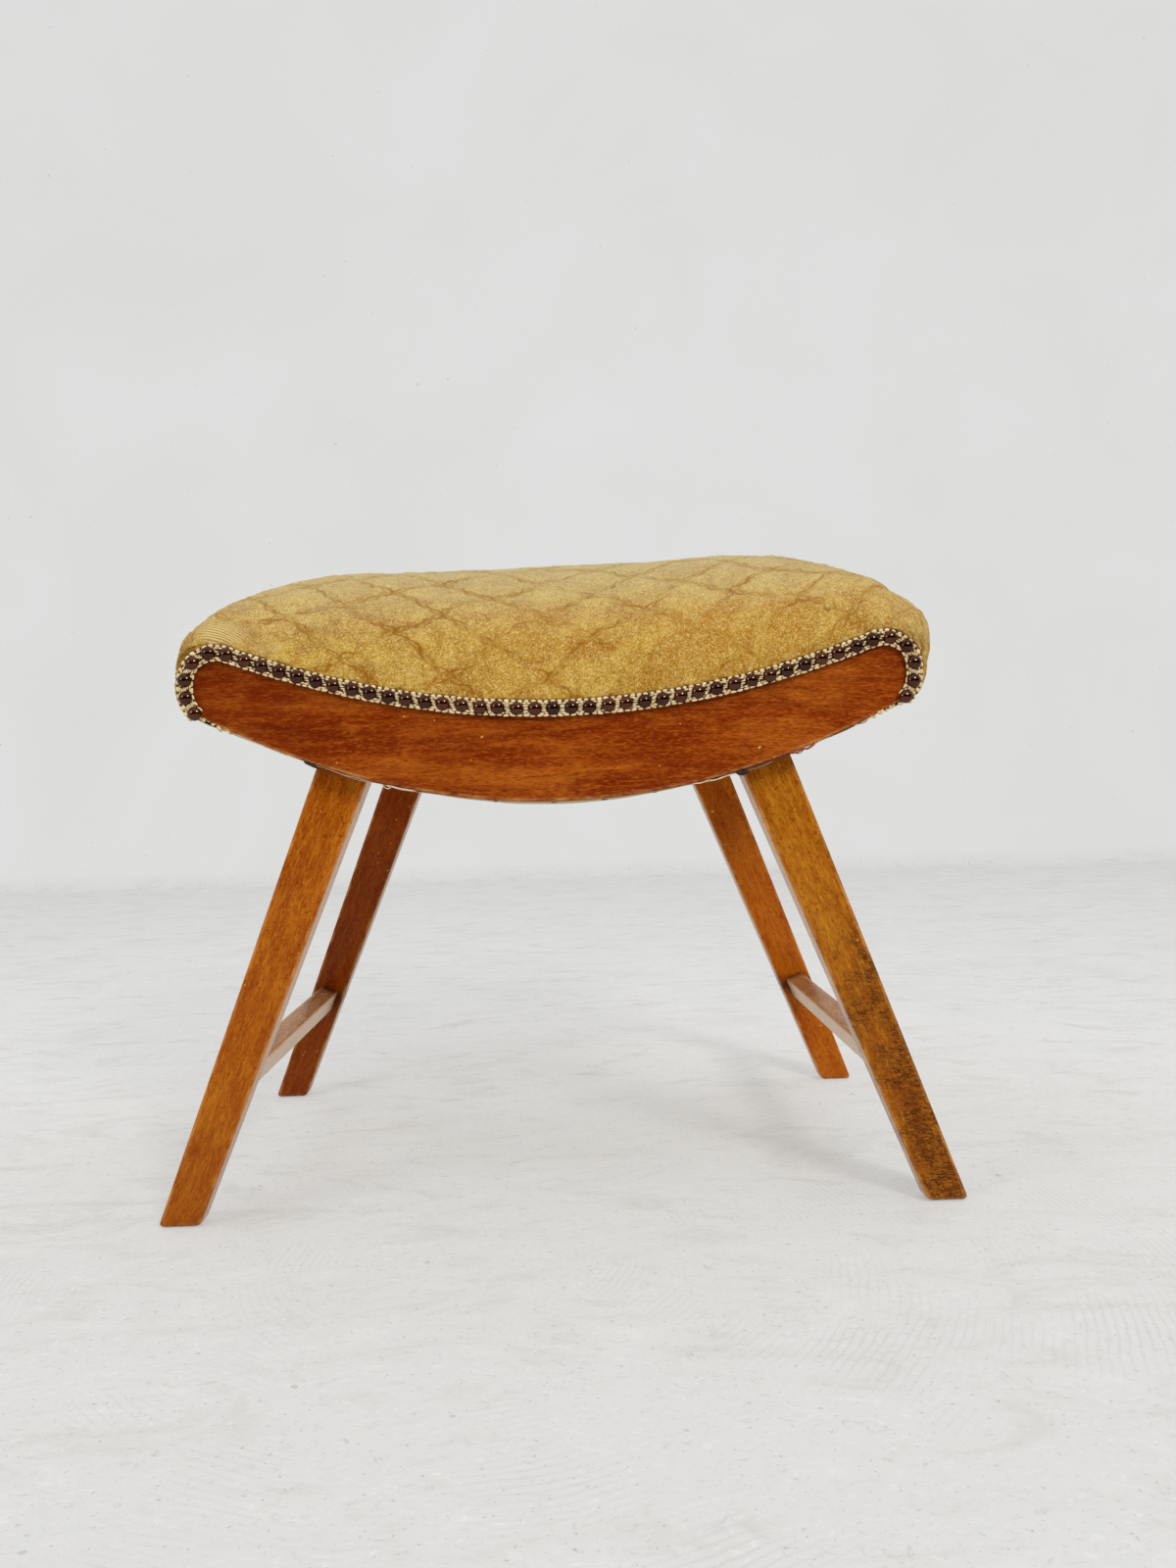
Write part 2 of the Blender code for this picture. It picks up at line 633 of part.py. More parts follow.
def cover():
    """The velvet cover: a dome, a bulging side and a hem pulled down over the rails."""
    shape = bmesh.new()
    plan_grid(shape, COVER_CELLS, SEAT_WIDEST_X, SEAT_WIDEST_Y)
    rings = []
    for _ in range(2):
        border = [edge for edge in shape.edges if edge.is_boundary]
        skirt = bmesh.ops.extrude_edge_only(shape, edges=border)
        rings.append({item for item in skirt["geom"] if isinstance(item, bmesh.types.BMVert)})
    for corner in shape.verts:
        x, y = corner.co.x, corner.co.y
        if corner in rings[0]:
            corner.co = hem_place(x, y, GIMP_WIDTH / 2 + 2 * CLOTH_GAP, COVER_HEM_TURN)
        elif corner in rings[1]:
            corner.co = hem_place(x, y, 0, COVER_HEM_LOW)
        else:
            z = cover_height(x, y)
            x, y = round_plan(x, y, SEAT_WIDEST_X, SEAT_WIDEST_Y, COVER_PLAN_ROUND)
            corner.co = (x, y, z)
    bmesh.ops.recalc_face_normals(shape, faces=shape.faces)
    top = max(shape.faces, key=lambda face: face.calc_center_median().z)
    if top.normal.z < 0:
        bmesh.ops.reverse_faces(shape, faces=shape.faces)
    mesh = bpy.data.meshes.new("velvet_cover")
    shape.to_mesh(mesh)
    shape.free()
    mesh.shade_smooth()
    piece = add_object("velvet_cover", mesh, "cover")
    cloth = piece.modifiers.new("cloth_thickness", "SOLIDIFY")
    cloth.thickness = COVER_THICKNESS
    cloth.offset = -1
    return piece


def layer(name, lower, upper, kind):
    """A closed layer over the hessian's plan between a lower and an upper height."""
    shape = bmesh.new()
    plan_grid(shape, PAD_CELLS, HESSIAN_HALF_LENGTH, HESSIAN_HALF_DEPTH)
    raised = bmesh.ops.extrude_face_region(shape, geom=shape.faces[:])
    top = {item for item in raised["geom"] if isinstance(item, bmesh.types.BMVert)}
    for corner in shape.verts:
        height = upper if corner in top else lower
        corner.co.z = height(corner.co.x, corner.co.y)
    bmesh.ops.recalc_face_normals(shape, faces=shape.faces)
    mesh = bpy.data.meshes.new(name)
    shape.to_mesh(mesh)
    shape.free()
    mesh.shade_smooth()
    return add_object(name, mesh, kind)


def hessian_top(x, y):
    """Height of the hessian's upper face."""
    return hessian_height(x, y) + HESSIAN_THICKNESS


def stuffing_bottom(x, y):
    """Height of the stuffing's lower face, resting on the hessian."""
    return hessian_top(x, y) + TOUCH_GAP


def least_gap(points):
    """The narrowest space between a coil's wire and its next turns, measured on its points."""
    apart = SPRING_POINTS_PER_TURN // 2
    spans = []
    for number, point in enumerate(points):
        for other in points[number + apart:]:
            spans.append((point.co - other.co).length - 2 * SPRING_WIRE)
    return min(spans)


def spring(number, place_x, place_y):
    """A waisted coil whose ends lie flat against the webbing and the hessian."""
    name = "coil_spring_" + str(number)
    curve = bpy.data.curves.new(name, "CURVE")
    curve.dimensions = "3D"
    curve.bevel_depth = SPRING_WIRE
    curve.bevel_resolution = 1
    curve.use_fill_caps = True
    total = round(SPRING_TURNS * SPRING_POINTS_PER_TURN)
    spline = curve.splines.new("POLY")
    spline.points.add(total)
    rising_turns = SPRING_TURNS - 2 * SPRING_SEAT_TURNS
    for step, point in enumerate(spline.points):
        turns = step / SPRING_POINTS_PER_TURN
        climb = min(max((turns - SPRING_SEAT_TURNS) / rising_turns, 0), 1)
        radius = SPRING_WAIST + (SPRING_RADIUS - SPRING_WAIST) * (2 * climb - 1) ** 2
        angle = 2 * math.pi * turns
        x = place_x + radius * math.cos(angle)
        y = place_y + radius * math.sin(angle)
        low = under_height(x) + CROSS_WEB_TOP + TOUCH_GAP + SPRING_WIRE
        high = hessian_height(x, y) - SPRING_WIRE - SPRING_TOP_GAP
        point.co = (x, y, low + (high - low) * climb, 1)
    print(name, "least gap to itself", round(least_gap(spline.points), 5))
    piece = bpy.data.objects.new(name, curve)
    PARTS.objects.link(piece)
    curve.materials.append(FINISHES["spring"])
    return piece


def path_lengths(points):
    """Running length along a path at each of its points."""
    lengths = [0]
    for (x, z), (next_x, next_z) in zip(points, points[1:]):
        lengths.append(lengths[-1] + math.hypot(next_x - x, next_z - z))
    return lengths


def nail_places():
    """Even places along the nail line, from the middle to the tuck, on both sides."""
    path = rim_half(0, NAIL_TUCK_ANGLE)
    lengths = path_lengths(path)
    pitch = lengths[-1] / NAILS_EACH_SIDE
    places = [path[0]]
    for number in range(1, NAILS_EACH_SIDE + 1):
        target = min(number * pitch, lengths[-1])
        for index in range(1, len(path)):
            if lengths[index] >= target - TOUCH_GAP / 10:
                break
        share = (target - lengths[index - 1]) / (lengths[index] - lengths[index - 1])
        x = path[index - 1][0] + share * (path[index][0] - path[index - 1][0])
        z = path[index - 1][1] + share * (path[index][1] - path[index - 1][1])
        places += [(x, z), (-x, z)]
    return places


def nail_heads(face):
    """All the domed heads of one row, ready to be joined to the braid."""
    name = FACE_NAMES[face] + "_nail_heads"
    shape = bmesh.new()
    for x, z in nail_places():
        size = Matrix.Diagonal((NAIL_HEAD_RADIUS, NAIL_HEAD_RADIUS, NAIL_HEAD_HEIGHT, 1))
        turn = Matrix.Rotation(math.radians(90), 4, "X")
        place = Matrix.Translation((x, face * GIMP_FRONT, z))
        bmesh.ops.create_uvsphere(
            shape, u_segments=NAIL_SEGMENTS, v_segments=NAIL_RINGS, radius=1,
            matrix=place @ turn @ size)
    inside = (GIMP_BACK + GIMP_FRONT) / 2
    for corner in shape.verts:
        corner.co.y = face * max(corner.co.y * face, inside)
    mesh = bpy.data.meshes.new(name)
    shape.to_mesh(mesh)
    shape.free()
    return add_object(name, mesh, "gimp", cutter=True)


def gimp(face):
    """The braid along the edge of a show rail, joined with its row of nail heads."""
    outer = rim_half(GIMP_WIDTH / 2, NAIL_TUCK_ANGLE)
    inner = rim_half(-GIMP_WIDTH / 2, NAIL_TUCK_ANGLE)
    outer = [(min(x, GIMP_REACH), z) for x, z in outer]
    outline = mirrored(outer) + mirrored(inner)[::-1]
    centre = face * (GIMP_FRONT + GIMP_BACK) / 2
    strip = plate(FACE_NAMES[face] + "_gimp", outline, GIMP_THICKNESS, centre, "gimp")
    join(strip, nail_heads(face))
    return strip


def build_stool():
    """Make every piece of the stool."""
    rails = {face: show_rail(face) for face in (-1, 1)}
    legs = {corner: leg(*corner) for corner in CORNERS}
    for side in (-1, 1):
        end_rail(side)
        stretcher(side, legs)
    for side, face in CORNERS:
        corner_block(side, face)
        leg_screws(side, face, legs[side, face], rails[face])
    webbing()
    dust_cloth()
    places = [(x, y) for x in SPRING_PLACES for y in LONG_WEB_PLACES]
    for number, (x, y) in enumerate(places, start=1):
        spring(number, x, y)
    layer("hessian_cover", hessian_height, hessian_top, "hessian")
    layer("stuffing", stuffing_bottom, stuffing_height, "stuffing")
    cover()
    for face in (-1, 1):
        gimp(face)


build_stool()
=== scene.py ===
# Vanity stool: mustard velvet seat, crescent rails, nailed braid and splayed beech legs.
import math

import bmesh
import bpy
import numpy as np
from mathutils import Matrix, Vector


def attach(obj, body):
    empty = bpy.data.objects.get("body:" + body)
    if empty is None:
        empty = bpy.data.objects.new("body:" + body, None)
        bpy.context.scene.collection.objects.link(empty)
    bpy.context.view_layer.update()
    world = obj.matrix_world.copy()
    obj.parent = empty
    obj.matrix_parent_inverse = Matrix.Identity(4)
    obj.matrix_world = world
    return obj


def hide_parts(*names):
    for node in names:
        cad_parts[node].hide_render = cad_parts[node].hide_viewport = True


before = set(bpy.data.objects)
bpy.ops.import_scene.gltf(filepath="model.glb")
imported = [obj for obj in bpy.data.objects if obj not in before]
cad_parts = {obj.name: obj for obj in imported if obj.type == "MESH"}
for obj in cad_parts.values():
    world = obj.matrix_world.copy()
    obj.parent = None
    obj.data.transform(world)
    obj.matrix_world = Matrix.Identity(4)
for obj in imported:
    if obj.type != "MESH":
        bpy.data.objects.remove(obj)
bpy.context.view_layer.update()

# Sizes of the stool, the same as the frame's, in metres
SEAT_HALF_LENGTH = 0.254
NAIL_MARGIN = 0.0035
NAIL_LINE_MID = 0.357
NAIL_LINE_RISE = 0.0421
CORNER_REACH = 0.028
END_DROP = 0.0052
TUCK_RADIUS = 0.022
NAIL_TUCK_ANGLE = math.radians(45)
RAIL_TUCK_ANGLE = math.radians(30)
RAIL_UNDER_MID = 0.293
RAIL_FRONT = 0.1925
RAIL_BACK = 0.1735
LEG_TOP = 0.362
LEG_FOOT_OUTER = 0.2874
LEG_FOOT_INNER = 0.2578
LEG_TOP_OUTER = 0.1524
LEG_TOP_INNER = 0.1115
LEG_FOOT_DEPTH = 0.0165
LEG_TOP_DEPTH = 0.0242
LEG_FRONT = 0.1732
STRETCHER_HEIGHT = 0.098
STRETCHER_WIDTH = 0.017
STRETCHER_DEPTH = 0.019
SEAT_BULGE_END = 0.0105
SEAT_BULGE_FRONT = 0.003
SEAT_CREST_MID = 0.4845
SEAT_CREST_LIFT = 0.0208
SEAT_LENGTH_POWER = 2.8
SEAT_DEPTH_POWER = 2.1
HESSIAN_HALF_LENGTH = 0.243
HESSIAN_HALF_DEPTH = 0.189
HESSIAN_CROWN = 0.06
PLAN_ROUND = 0.012
COVER_FRONT = 0.1943
GIMP_BACK = 0.1946
LINING_CLEARANCE = 0.0018
PALE_EDGE = 0.0009

NAIL_END = SEAT_HALF_LENGTH - NAIL_MARGIN
CORNER_START = NAIL_END - CORNER_REACH
CORNER_SLOPE = math.atan2(2 * NAIL_LINE_RISE, CORNER_START)
CORNER_RADIUS = CORNER_REACH / (1 + math.sin(CORNER_SLOPE))
CORNER_X = NAIL_END - CORNER_RADIUS
CORNER_Z = NAIL_LINE_MID + NAIL_LINE_RISE - CORNER_RADIUS * math.cos(CORNER_SLOPE)
TUCK_X = NAIL_END - TUCK_RADIUS
TUCK_Z = CORNER_Z - END_DROP
SEAT_WIDEST_X = NAIL_END + SEAT_BULGE_END
SEAT_WIDEST_Y = COVER_FRONT + SEAT_BULGE_FRONT

SIDES = {-1: "left", 1: "right"}
FACES = {-1: "front", 1: "back"}
CORNERS = [(side, face) for side in SIDES for face in FACES]
SCENE = bpy.context.scene


# Objects and meshes

def add_piece(name, data):
    """Link a mesh, a lamp or a camera to the scene as an object with that name."""
    piece = bpy.data.objects.new(name, data)
    SCENE.collection.objects.link(piece)
    return piece


def mesh_of(name, points, faces):
    """A smooth mesh from points and faces."""
    mesh = bpy.data.meshes.new(name)
    mesh.from_pydata([tuple(point) for point in points], [], faces)
    mesh.validate()
    mesh.shade_smooth()
    return mesh


def solid_of(name, points, faces):
    """A smooth closed mesh with every face turned to the outside."""
    mesh = mesh_of(name, points, faces)
    shape = bmesh.new()
    shape.from_mesh(mesh)
    bmesh.ops.recalc_face_normals(shape, faces=shape.faces)
    shape.to_mesh(mesh)
    shape.free()
    return mesh


def mesh_from(shape, name):
    """A mesh from a finished bmesh."""
    mesh = bpy.data.meshes.new(name)
    shape.to_mesh(mesh)
    shape.free()
    return mesh


def settle(piece):
    """Turn a piece's live modifiers into plain mesh."""
    bpy.context.view_layer.update()
    graph = bpy.context.evaluated_depsgraph_get()
    mesh = bpy.data.meshes.new_from_object(piece.evaluated_get(graph))
    old = piece.data
    piece.modifiers.clear()
    piece.data = mesh
    bpy.data.meshes.remove(old)
    mesh.name = piece.name


def paint(mesh, **layers):
    """Store numbers or vectors for the points of a mesh, under the given names."""
    for name, values in layers.items():
        values = np.asarray(values, dtype=np.float32)
        vectors = values.ndim == 2
        layer = mesh.attributes.new(name, "FLOAT_VECTOR" if vectors else "FLOAT", "POINT")
        layer.data.foreach_set("vector" if vectors else "value", values.ravel())


def vectors_of(mesh, name="co"):
    """The points of a mesh, or their normals, as an array."""
    flat = np.empty(len(mesh.vertices) * 3, dtype=np.float32)
    mesh.vertices.foreach_get(name, flat)
    return flat.reshape(-1, 3).astype(np.float64)


def fit_piece(piece, slot, *nodes, finish=None):
    """Say what a finished piece rides on, replaces and takes its finish from."""
    if finish is not None:
        piece.data.materials.clear()
        piece.data.materials.append(finish)
    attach(piece, "root")
    if nodes:
        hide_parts(*nodes)


def closed_loop_faces(first, second):
    """Quads between two closed rows of the same length."""
    return list(zip(first, first[1:] + first[:1], second[1:] + second[:1], second))


def grid_faces(number):
    """Quads of a grid of numbered points, as an array of the same layout."""
    return np.stack([number[:-1, :-1], number[1:, :-1], number[1:, 1:], number[:-1, 1:]], axis=-1)


def loft(sections):
    """Points and faces of a closed body through sections listed as rows of (x, y, z)."""
    count = len(sections[0])
    points = [point for section in sections for point in section]
    faces = [tuple(range(count))[::-1]]
    for row in range(len(sections) - 1):
        low = [row * count + place for place in range(count)]
        faces += closed_loop_faces(low, [place + count for place in low])
    faces.append(tuple(range(len(points) - count, len(points))))
    return points, faces


def wooden(name, sections, slot, node, finish, **layers):
    """A closed wooden piece through sections, with numbers painted on its points."""
    mesh = solid_of(name, *loft(sections))
    paint(mesh, **layers)
    fit_piece(add_piece(name, mesh), slot, node, finish=finish)


# Curves and surfaces of the stool

def ramp(value, low, high):
    """0 at low, 1 at high, and held beyond."""
    return np.clip((value - low) / (high - low), 0, 1)


def hump(value, middle, width):
    """A soft hump of height 1 at the middle."""
    return np.exp(-((value - middle) / width) ** 2)


def running_length(line):
    """Length of a line of points up to each of them."""
    steps = np.linalg.norm(np.diff(line, axis=0), axis=1)
    return np.concatenate([[0], np.cumsum(steps)])


def line_length(line):
    """Length of a line of points."""
    return float(running_length(line)[-1])


def along_line(line, targets):
    """Points of a line at given running lengths."""
    length = running_length(line)
    return np.column_stack([np.interp(targets, length, values) for values in line.T])


def arc(x, z, radius, start, end, steps):
    """Points of an arc round (x, z) between two angles."""
    angles = np.linspace(start, end, steps + 1)
    return np.column_stack([x + radius * np.cos(angles), z + radius * np.sin(angles)])


def rim_point(x, offset):
    """Height of the nail line at x, moved outwards by offset."""
    x = np.abs(x)
    radius = CORNER_RADIUS + offset
    turn = CORNER_X - radius * math.sin(CORNER_SLOPE)
    line = NAIL_LINE_MID + offset + NAIL_LINE_RISE * (x / CORNER_START) ** 2
    corner = CORNER_Z + np.sqrt(np.maximum(radius ** 2 - (x - CORNER_X) ** 2, 0))
    return np.where(x <= turn, line, corner)


def rim_half(offset, tuck_angle):
    """The right half of the nail line, moved outwards by offset, from the middle to the tuck."""
    radius = CORNER_RADIUS + offset
    steps = 60
    x = (CORNER_X - radius * math.sin(CORNER_SLOPE)) * np.arange(steps) / steps
    return np.concatenate([
        np.column_stack([x, rim_point(x, offset)]),
        arc(CORNER_X, CORNER_Z, radius, math.pi / 2 + CORNER_SLOPE, 0, 24),
        arc(TUCK_X, TUCK_Z, TUCK_RADIUS + offset, 0, -tuck_angle, 12)])


def both_halves(half):
    """A line from left to right, from its right half of (x, z)."""
    return np.concatenate([half[:0:-1] * (-1, 1), half])


def under_height(x):
    """Height of the rails' curved bottom edge at x."""
    radius = TUCK_RADIUS + NAIL_MARGIN
    end_x = TUCK_X + radius * math.cos(RAIL_TUCK_ANGLE)
    end_z = TUCK_Z - radius * math.sin(RAIL_TUCK_ANGLE)
    return RAIL_UNDER_MID + (end_z - RAIL_UNDER_MID) * (x / end_x) ** 2


def dome_shares(x, half_x, y, half_y):
    """The rise of a dome along its length and across its depth, each from 0 to 1."""
    along = np.maximum(1 - np.abs(x / half_x) ** SEAT_LENGTH_POWER, 0) ** (1 / SEAT_LENGTH_POWER)
    across = np.maximum(1 - np.abs(y / half_y) ** SEAT_DEPTH_POWER, 0) ** (1 / SEAT_DEPTH_POWER)
    return along, across


def cover_height(x, y):
    """Height of the velvet above a place on the plan."""
    along, across = dome_shares(x, SEAT_WIDEST_X, y, SEAT_WIDEST_Y)
    low = rim_point(x, SEAT_BULGE_END)
    crest = SEAT_CREST_MID + SEAT_CREST_LIFT * (x / SEAT_WIDEST_X) ** 2
    high = np.maximum(CORNER_Z + (crest - CORNER_Z) * along, low)
    return low + (high - low) * across


def lining_height(x, y):
    """Height of the seat's underside, which rests a little above the hessian."""
    along, across = dome_shares(x, HESSIAN_HALF_LENGTH, y, HESSIAN_HALF_DEPTH)
    return rim_point(x, NAIL_MARGIN + LINING_CLEARANCE) + HESSIAN_CROWN * along * across


def on_leg(foot, top, z):
    """A measure of the leg at a height, from its values at the floor and at the leg's top."""
    return foot + (top - foot) * z / LEG_TOP


def leg_middle(z):
    """Distance of the leg's centre line from the middle of the stool at a height."""
    return on_leg((LEG_FOOT_OUTER + LEG_FOOT_INNER) / 2, (LEG_TOP_OUTER + LEG_TOP_INNER) / 2, z)


def leg_back(z):
    """Distance of the leg's inward face from the centre plane at a height."""
    return LEG_FRONT - on_leg(LEG_FOOT_DEPTH, LEG_TOP_DEPTH, z)


LEG_TILT = math.atan2(leg_middle(0) - leg_middle(LEG_TOP), LEG_TOP)


# Materials: every colour is written as it looks on a screen, from 0 to 255

MIX_A = 6
MIX_B = 7
MIX_RESULT = 2


def tint(colour):
    """A screen colour as light values; a colour that nodes make stays as it is."""
    if isinstance(colour, bpy.types.NodeSocket):
        return colour
    light = []
    for value in colour:
        share = value / 255
        light.append(share / 12.92 if share <= 0.04045 else ((share + 0.055) / 1.055) ** 2.4)
    return (*light, 1.0)


def add_node(tree, kind, inputs=None, **settings):
    """Add a node, set its options and its inputs, each to a value or a link."""
    made = tree.nodes.new(kind)
    for key, value in settings.items():
        setattr(made, key, value)
    for key, value in (inputs or {}).items():
        if isinstance(value, Number):
            value = value.socket
        if isinstance(value, bpy.types.NodeSocket):
            tree.links.new(value, made.inputs[key])
        else:
            made.inputs[key].default_value = value
    return made


def reckon(tree, operation, first, second=0.0):
    """One step of arithmetic in a tree."""
    made = add_node(tree, "ShaderNodeMath", {0: first, 1: second}, operation=operation)
    return Number(tree, made.outputs[0])


def vector_step(tree, operation, first, second):
    """One step of vector arithmetic in a tree; SCALE takes a number as its second value."""
    key = "Scale" if operation == "SCALE" else 1
    made = add_node(tree, "ShaderNodeVectorMath", {0: first, key: second}, operation=operation)
    return made.outputs[0]


def part_of(tree, vector, axis):
    """One of the three numbers of a vector."""
    parts = add_node(tree, "ShaderNodeSeparateXYZ", {"Vector": vector})
    return Number(tree, parts.outputs[axis])


class Number:
    """A number in a node tree; arithmetic with it adds the nodes that it takes."""

    def __init__(self, tree, socket):
        self.tree = tree
        self.socket = socket

    def __add__(self, other):
        return self.step("ADD", other)

    def __sub__(self, other):
        return self.step("SUBTRACT", other)

    def __mul__(self, other):
        return self.step("MULTIPLY", other)

    def step(self, operation, other=0.0):
        """One step of arithmetic."""
        return reckon(self.tree, operation, self, other)

    def spread(self, low, high, to_low=0.0, to_high=1.0):
        """Stretch a range of the number to another range, and hold it beyond."""
        made = add_node(self.tree, "ShaderNodeMapRange", {
            "Value": self, "From Min": low, "From Max": high,
            "To Min": to_low, "To Max": to_high})
        return Number(self.tree, made.outputs["Result"])


class Finish:
    """A material as it is built up: its shader, and the colour laid down so far."""

    def __init__(self, name, roughness, colour, **sockets):
        self.material = bpy.data.materials.new(name)
        self.material.use_nodes = True
        self.tree = self.material.node_tree
        self.shader = self.tree.nodes["Principled BSDF"]
        self.colour = colour
        for key, value in {"Roughness": roughness, **sockets}.items():
            self.shader.inputs[key.replace("_", " ")].default_value = value

    def place(self, scale=(1, 1, 1), shift=(0, 0, 0), attribute=None):
        """Coordinates on the object or from one of its attributes, stretched and shifted."""
        if attribute is None:
            source = add_node(self.tree, "ShaderNodeTexCoord").outputs["Object"]
        else:
            made = add_node(self.tree, "ShaderNodeAttribute", attribute_name=attribute)
            source = made.outputs["Vector"]
        return add_node(self.tree, "ShaderNodeMapping", {
            "Vector": source, "Scale": scale, "Location": shift}).outputs["Vector"]

    def painted(self, attribute):
        """A number stored on the piece's points."""
        made = add_node(self.tree, "ShaderNodeAttribute", attribute_name=attribute)
        return Number(self.tree, made.outputs["Fac"])

    def noise(self, place, scale, detail=3.0, roughness=0.5, distortion=0.0):
        """Soft random cloud from 0 to 1."""
        made = add_node(self.tree, "ShaderNodeTexNoise", {
            "Vector": place, "Scale": scale, "Detail": detail,
            "Roughness": roughness, "Distortion": distortion})
        return Number(self.tree, made.outputs["Fac"])

    def waves(self, place, scale, distortion, detail, detail_scale, **kind):
        """Bands or rings from 0 to 1."""
        made = add_node(self.tree, "ShaderNodeTexWave", {
            "Vector": place, "Scale": scale, "Distortion": distortion, "Detail": detail,
            "Detail Scale": detail_scale}, **kind)
        return Number(self.tree, made.outputs["Fac"])

    def mix(self, share, first, second):
        """Mix two colours by a share."""
        made = add_node(self.tree, "ShaderNodeMix", {
            0: share, MIX_A: tint(first), MIX_B: tint(second)}, data_type="RGBA")
        return made.outputs[MIX_RESULT]

    def coat(self, colour, share, low=None, high=None, most=1.0):
        """Lay a colour over what is there, by a share or by a stretched range of it."""
        if low is not None:
            share = share.spread(low, high, 0.0, most)
        self.colour = self.mix(share, self.colour, colour)

    def join(self, value, name):
        """Link a value to one of the shader's inputs."""
        socket = value.socket if isinstance(value, Number) else value
        self.tree.links.new(socket, self.shader.inputs[name])

    def done(self, height, depth, strength):
        """Join up the colour, and a relief whose heights of 1 are depth metres high."""
        self.join(self.colour, "Base Color")
        bump = add_node(self.tree, "ShaderNodeBump", {
            "Height": height, "Distance": depth, "Strength": strength})
        self.join(bump.outputs["Normal"], "Normal")
        return self.material


def varnished_wood(name, tones, seed, stain=0.0, dark_bands=(), fleck=0.5, bare=0.6, flamed=0.0):
    """Shellac over beech: soft flames, short fibres, flecks and rubbed edges.

    tones are the deep, the middle and the light colour. The grain attribute holds metres
    across, through and along the board. The dark bands are listed as (place along the board,
    half width, strength): painted shade under the rail and at the stretcher joints, and on the
    front left leg a darkening towards the foot. stain, fleck and flamed say how strong those
    marks are; the side strength says how pale the inward face is painted, as painted reflection
    of the bright floor and wall with some worn varnish.
    """
    deep, middle, light = tones
    wood = Finish(
        name, 0.34, deep, Coat_Weight=0.14, Coat_Roughness=0.16, Specular_IOR_Level=0.1,
        Specular_Tint=tint((255, 206, 150)))
    shift = (seed * 0.37, seed * 0.21, seed * 0.53)

    def clouds(stretch, *numbers):
        """Noise on the grain, drawn out along the board."""
        return wood.noise(wood.place((1, 1, stretch), shift, "grain"), *numbers)

    figure = clouds(0.2, 52.0, 5.0, 0.6, 1.2)
    tongues = clouds(0.16, 34.0, 3.0, 0.5, 1.6)
    flames = clouds(0.22, 120.0, 4.0, 0.6, 0.9)
    streaks = clouds(0.08, 420.0, 4.0, 0.7, 0.3)
    fibres = clouds(0.2, 1100.0, 3.0, 0.75)
    spots = clouds(0.6, 470.0, 2.0, 0.6, 0.4)
    blotch = clouds(0.45, 22.0, 5.0, 0.6, 0.4)
    along = part_of(wood.tree, wood.place(attribute="grain"), "Z")
    for colour, cloud, low, high, most in (
            (middle, figure, 0.37, 0.62, 1.0), (light, blotch, 0.5, 0.66, 0.5),
            (light, tongues, 0.53, 0.62, flamed), (deep, tongues, 0.49, 0.4, flamed),
            (light, flames, 0.52, 0.66, 0.4), (deep, flames, 0.46, 0.34, 0.35),
            (deep, streaks, 0.5, 0.66, 0.45), (light, streaks, 0.47, 0.34, 0.4),
            (deep, fibres, 0.51, 0.64, 0.75), (light, fibres, 0.47, 0.35, 0.6)):
        wood.coat(colour, cloud, low, high, most)

    # Painted reflection: the inward face is painted pale, as the bright floor and wall seen in its
    # varnish, with some worn varnish.
    wood.coat((230, 204, 174), wood.painted("bare") * bare)
    # Painted shade: a dark red band just under the braid's edge, joined with the rail's darker red
    # patches.
    braid_shade = wood.painted("near_top").spread(0.012, 0.027, 0.0, 0.6)
    shade = wood.painted("shade").step("MAXIMUM", braid_shade)
    wood.coat((94, 22, 6), shade * flames.spread(0.3, 0.6, 1.0, 0.45))
    flecks = (spots + along.spread(0.1, 0.33, -0.025, 0.03)).spread(0.585, 0.66, 0.0, fleck)
    wood.coat((92, 30, 3), flecks)
    if stain > 0:
        patches = clouds(0.7, 60.0, 5.0, 0.65, 0.8) + wood.painted("stain") * stain
        crossing = wood.noise(wood.place((0.6, 1, 2.0), shift, "grain"), 330.0, 4.0, 0.7, 1.2)
        marks = crossing.spread(0.44, 0.55, 0.2, 1.0)
        wood.coat((74, 30, 5), patches.spread(0.64, 0.9, 0.0, 0.9) * marks)
    # Bands painted darker: painted shade under the rail and at the stretcher joints, and on the front
    # left leg darker towards the foot.
    for place, half_width, strength in dark_bands:
        ragged = (along - place).step("ABSOLUTE") + blotch.spread(0.3, 0.7, 0.0, half_width * 0.5)
        wood.coat((78, 20, 4), ragged.spread(half_width * 0.3, half_width * 1.2, strength, 0.0))
    chips = clouds(0.3, 200.0, 4.0, 0.7).spread(0.42, 0.64)
    worn = wood.painted("edge").spread(0.5, 1.0) * chips
    wood.coat((214, 150, 78), worn * 0.65)
    wood.coat((222, 160, 88), clouds(0.8, 260.0, 0.0, 0.5, 0.6), 0.855, 0.875)
    wood.join(blotch.spread(0.3, 0.7, 0.24, 0.4), "Roughness")
    return wood.done(fibres - flecks * 0.9 - worn * 0.8, 0.00012, 0.5)


def plain_pine():
    """Bare planed pine for the hidden frame."""
    pine = Finish("frame_pine", 0.7, (214, 178, 122))
    shift = (2.0, 0, 0)
    rings = pine.waves(
        pine.place((0.12, 0.12, 1), shift), 40.0, 6.0, 3.0, 1.0,
        wave_type="BANDS", bands_direction="Z")
    fibres = pine.noise(pine.place((0.1, 0.1, 1.0), shift), 700.0)
    pine.coat((188, 142, 86), rings)
    pine.coat((160, 116, 68), fibres, 0.4, 0.7, 0.4)
    return pine.done(fibres, 0.0002, 0.6)


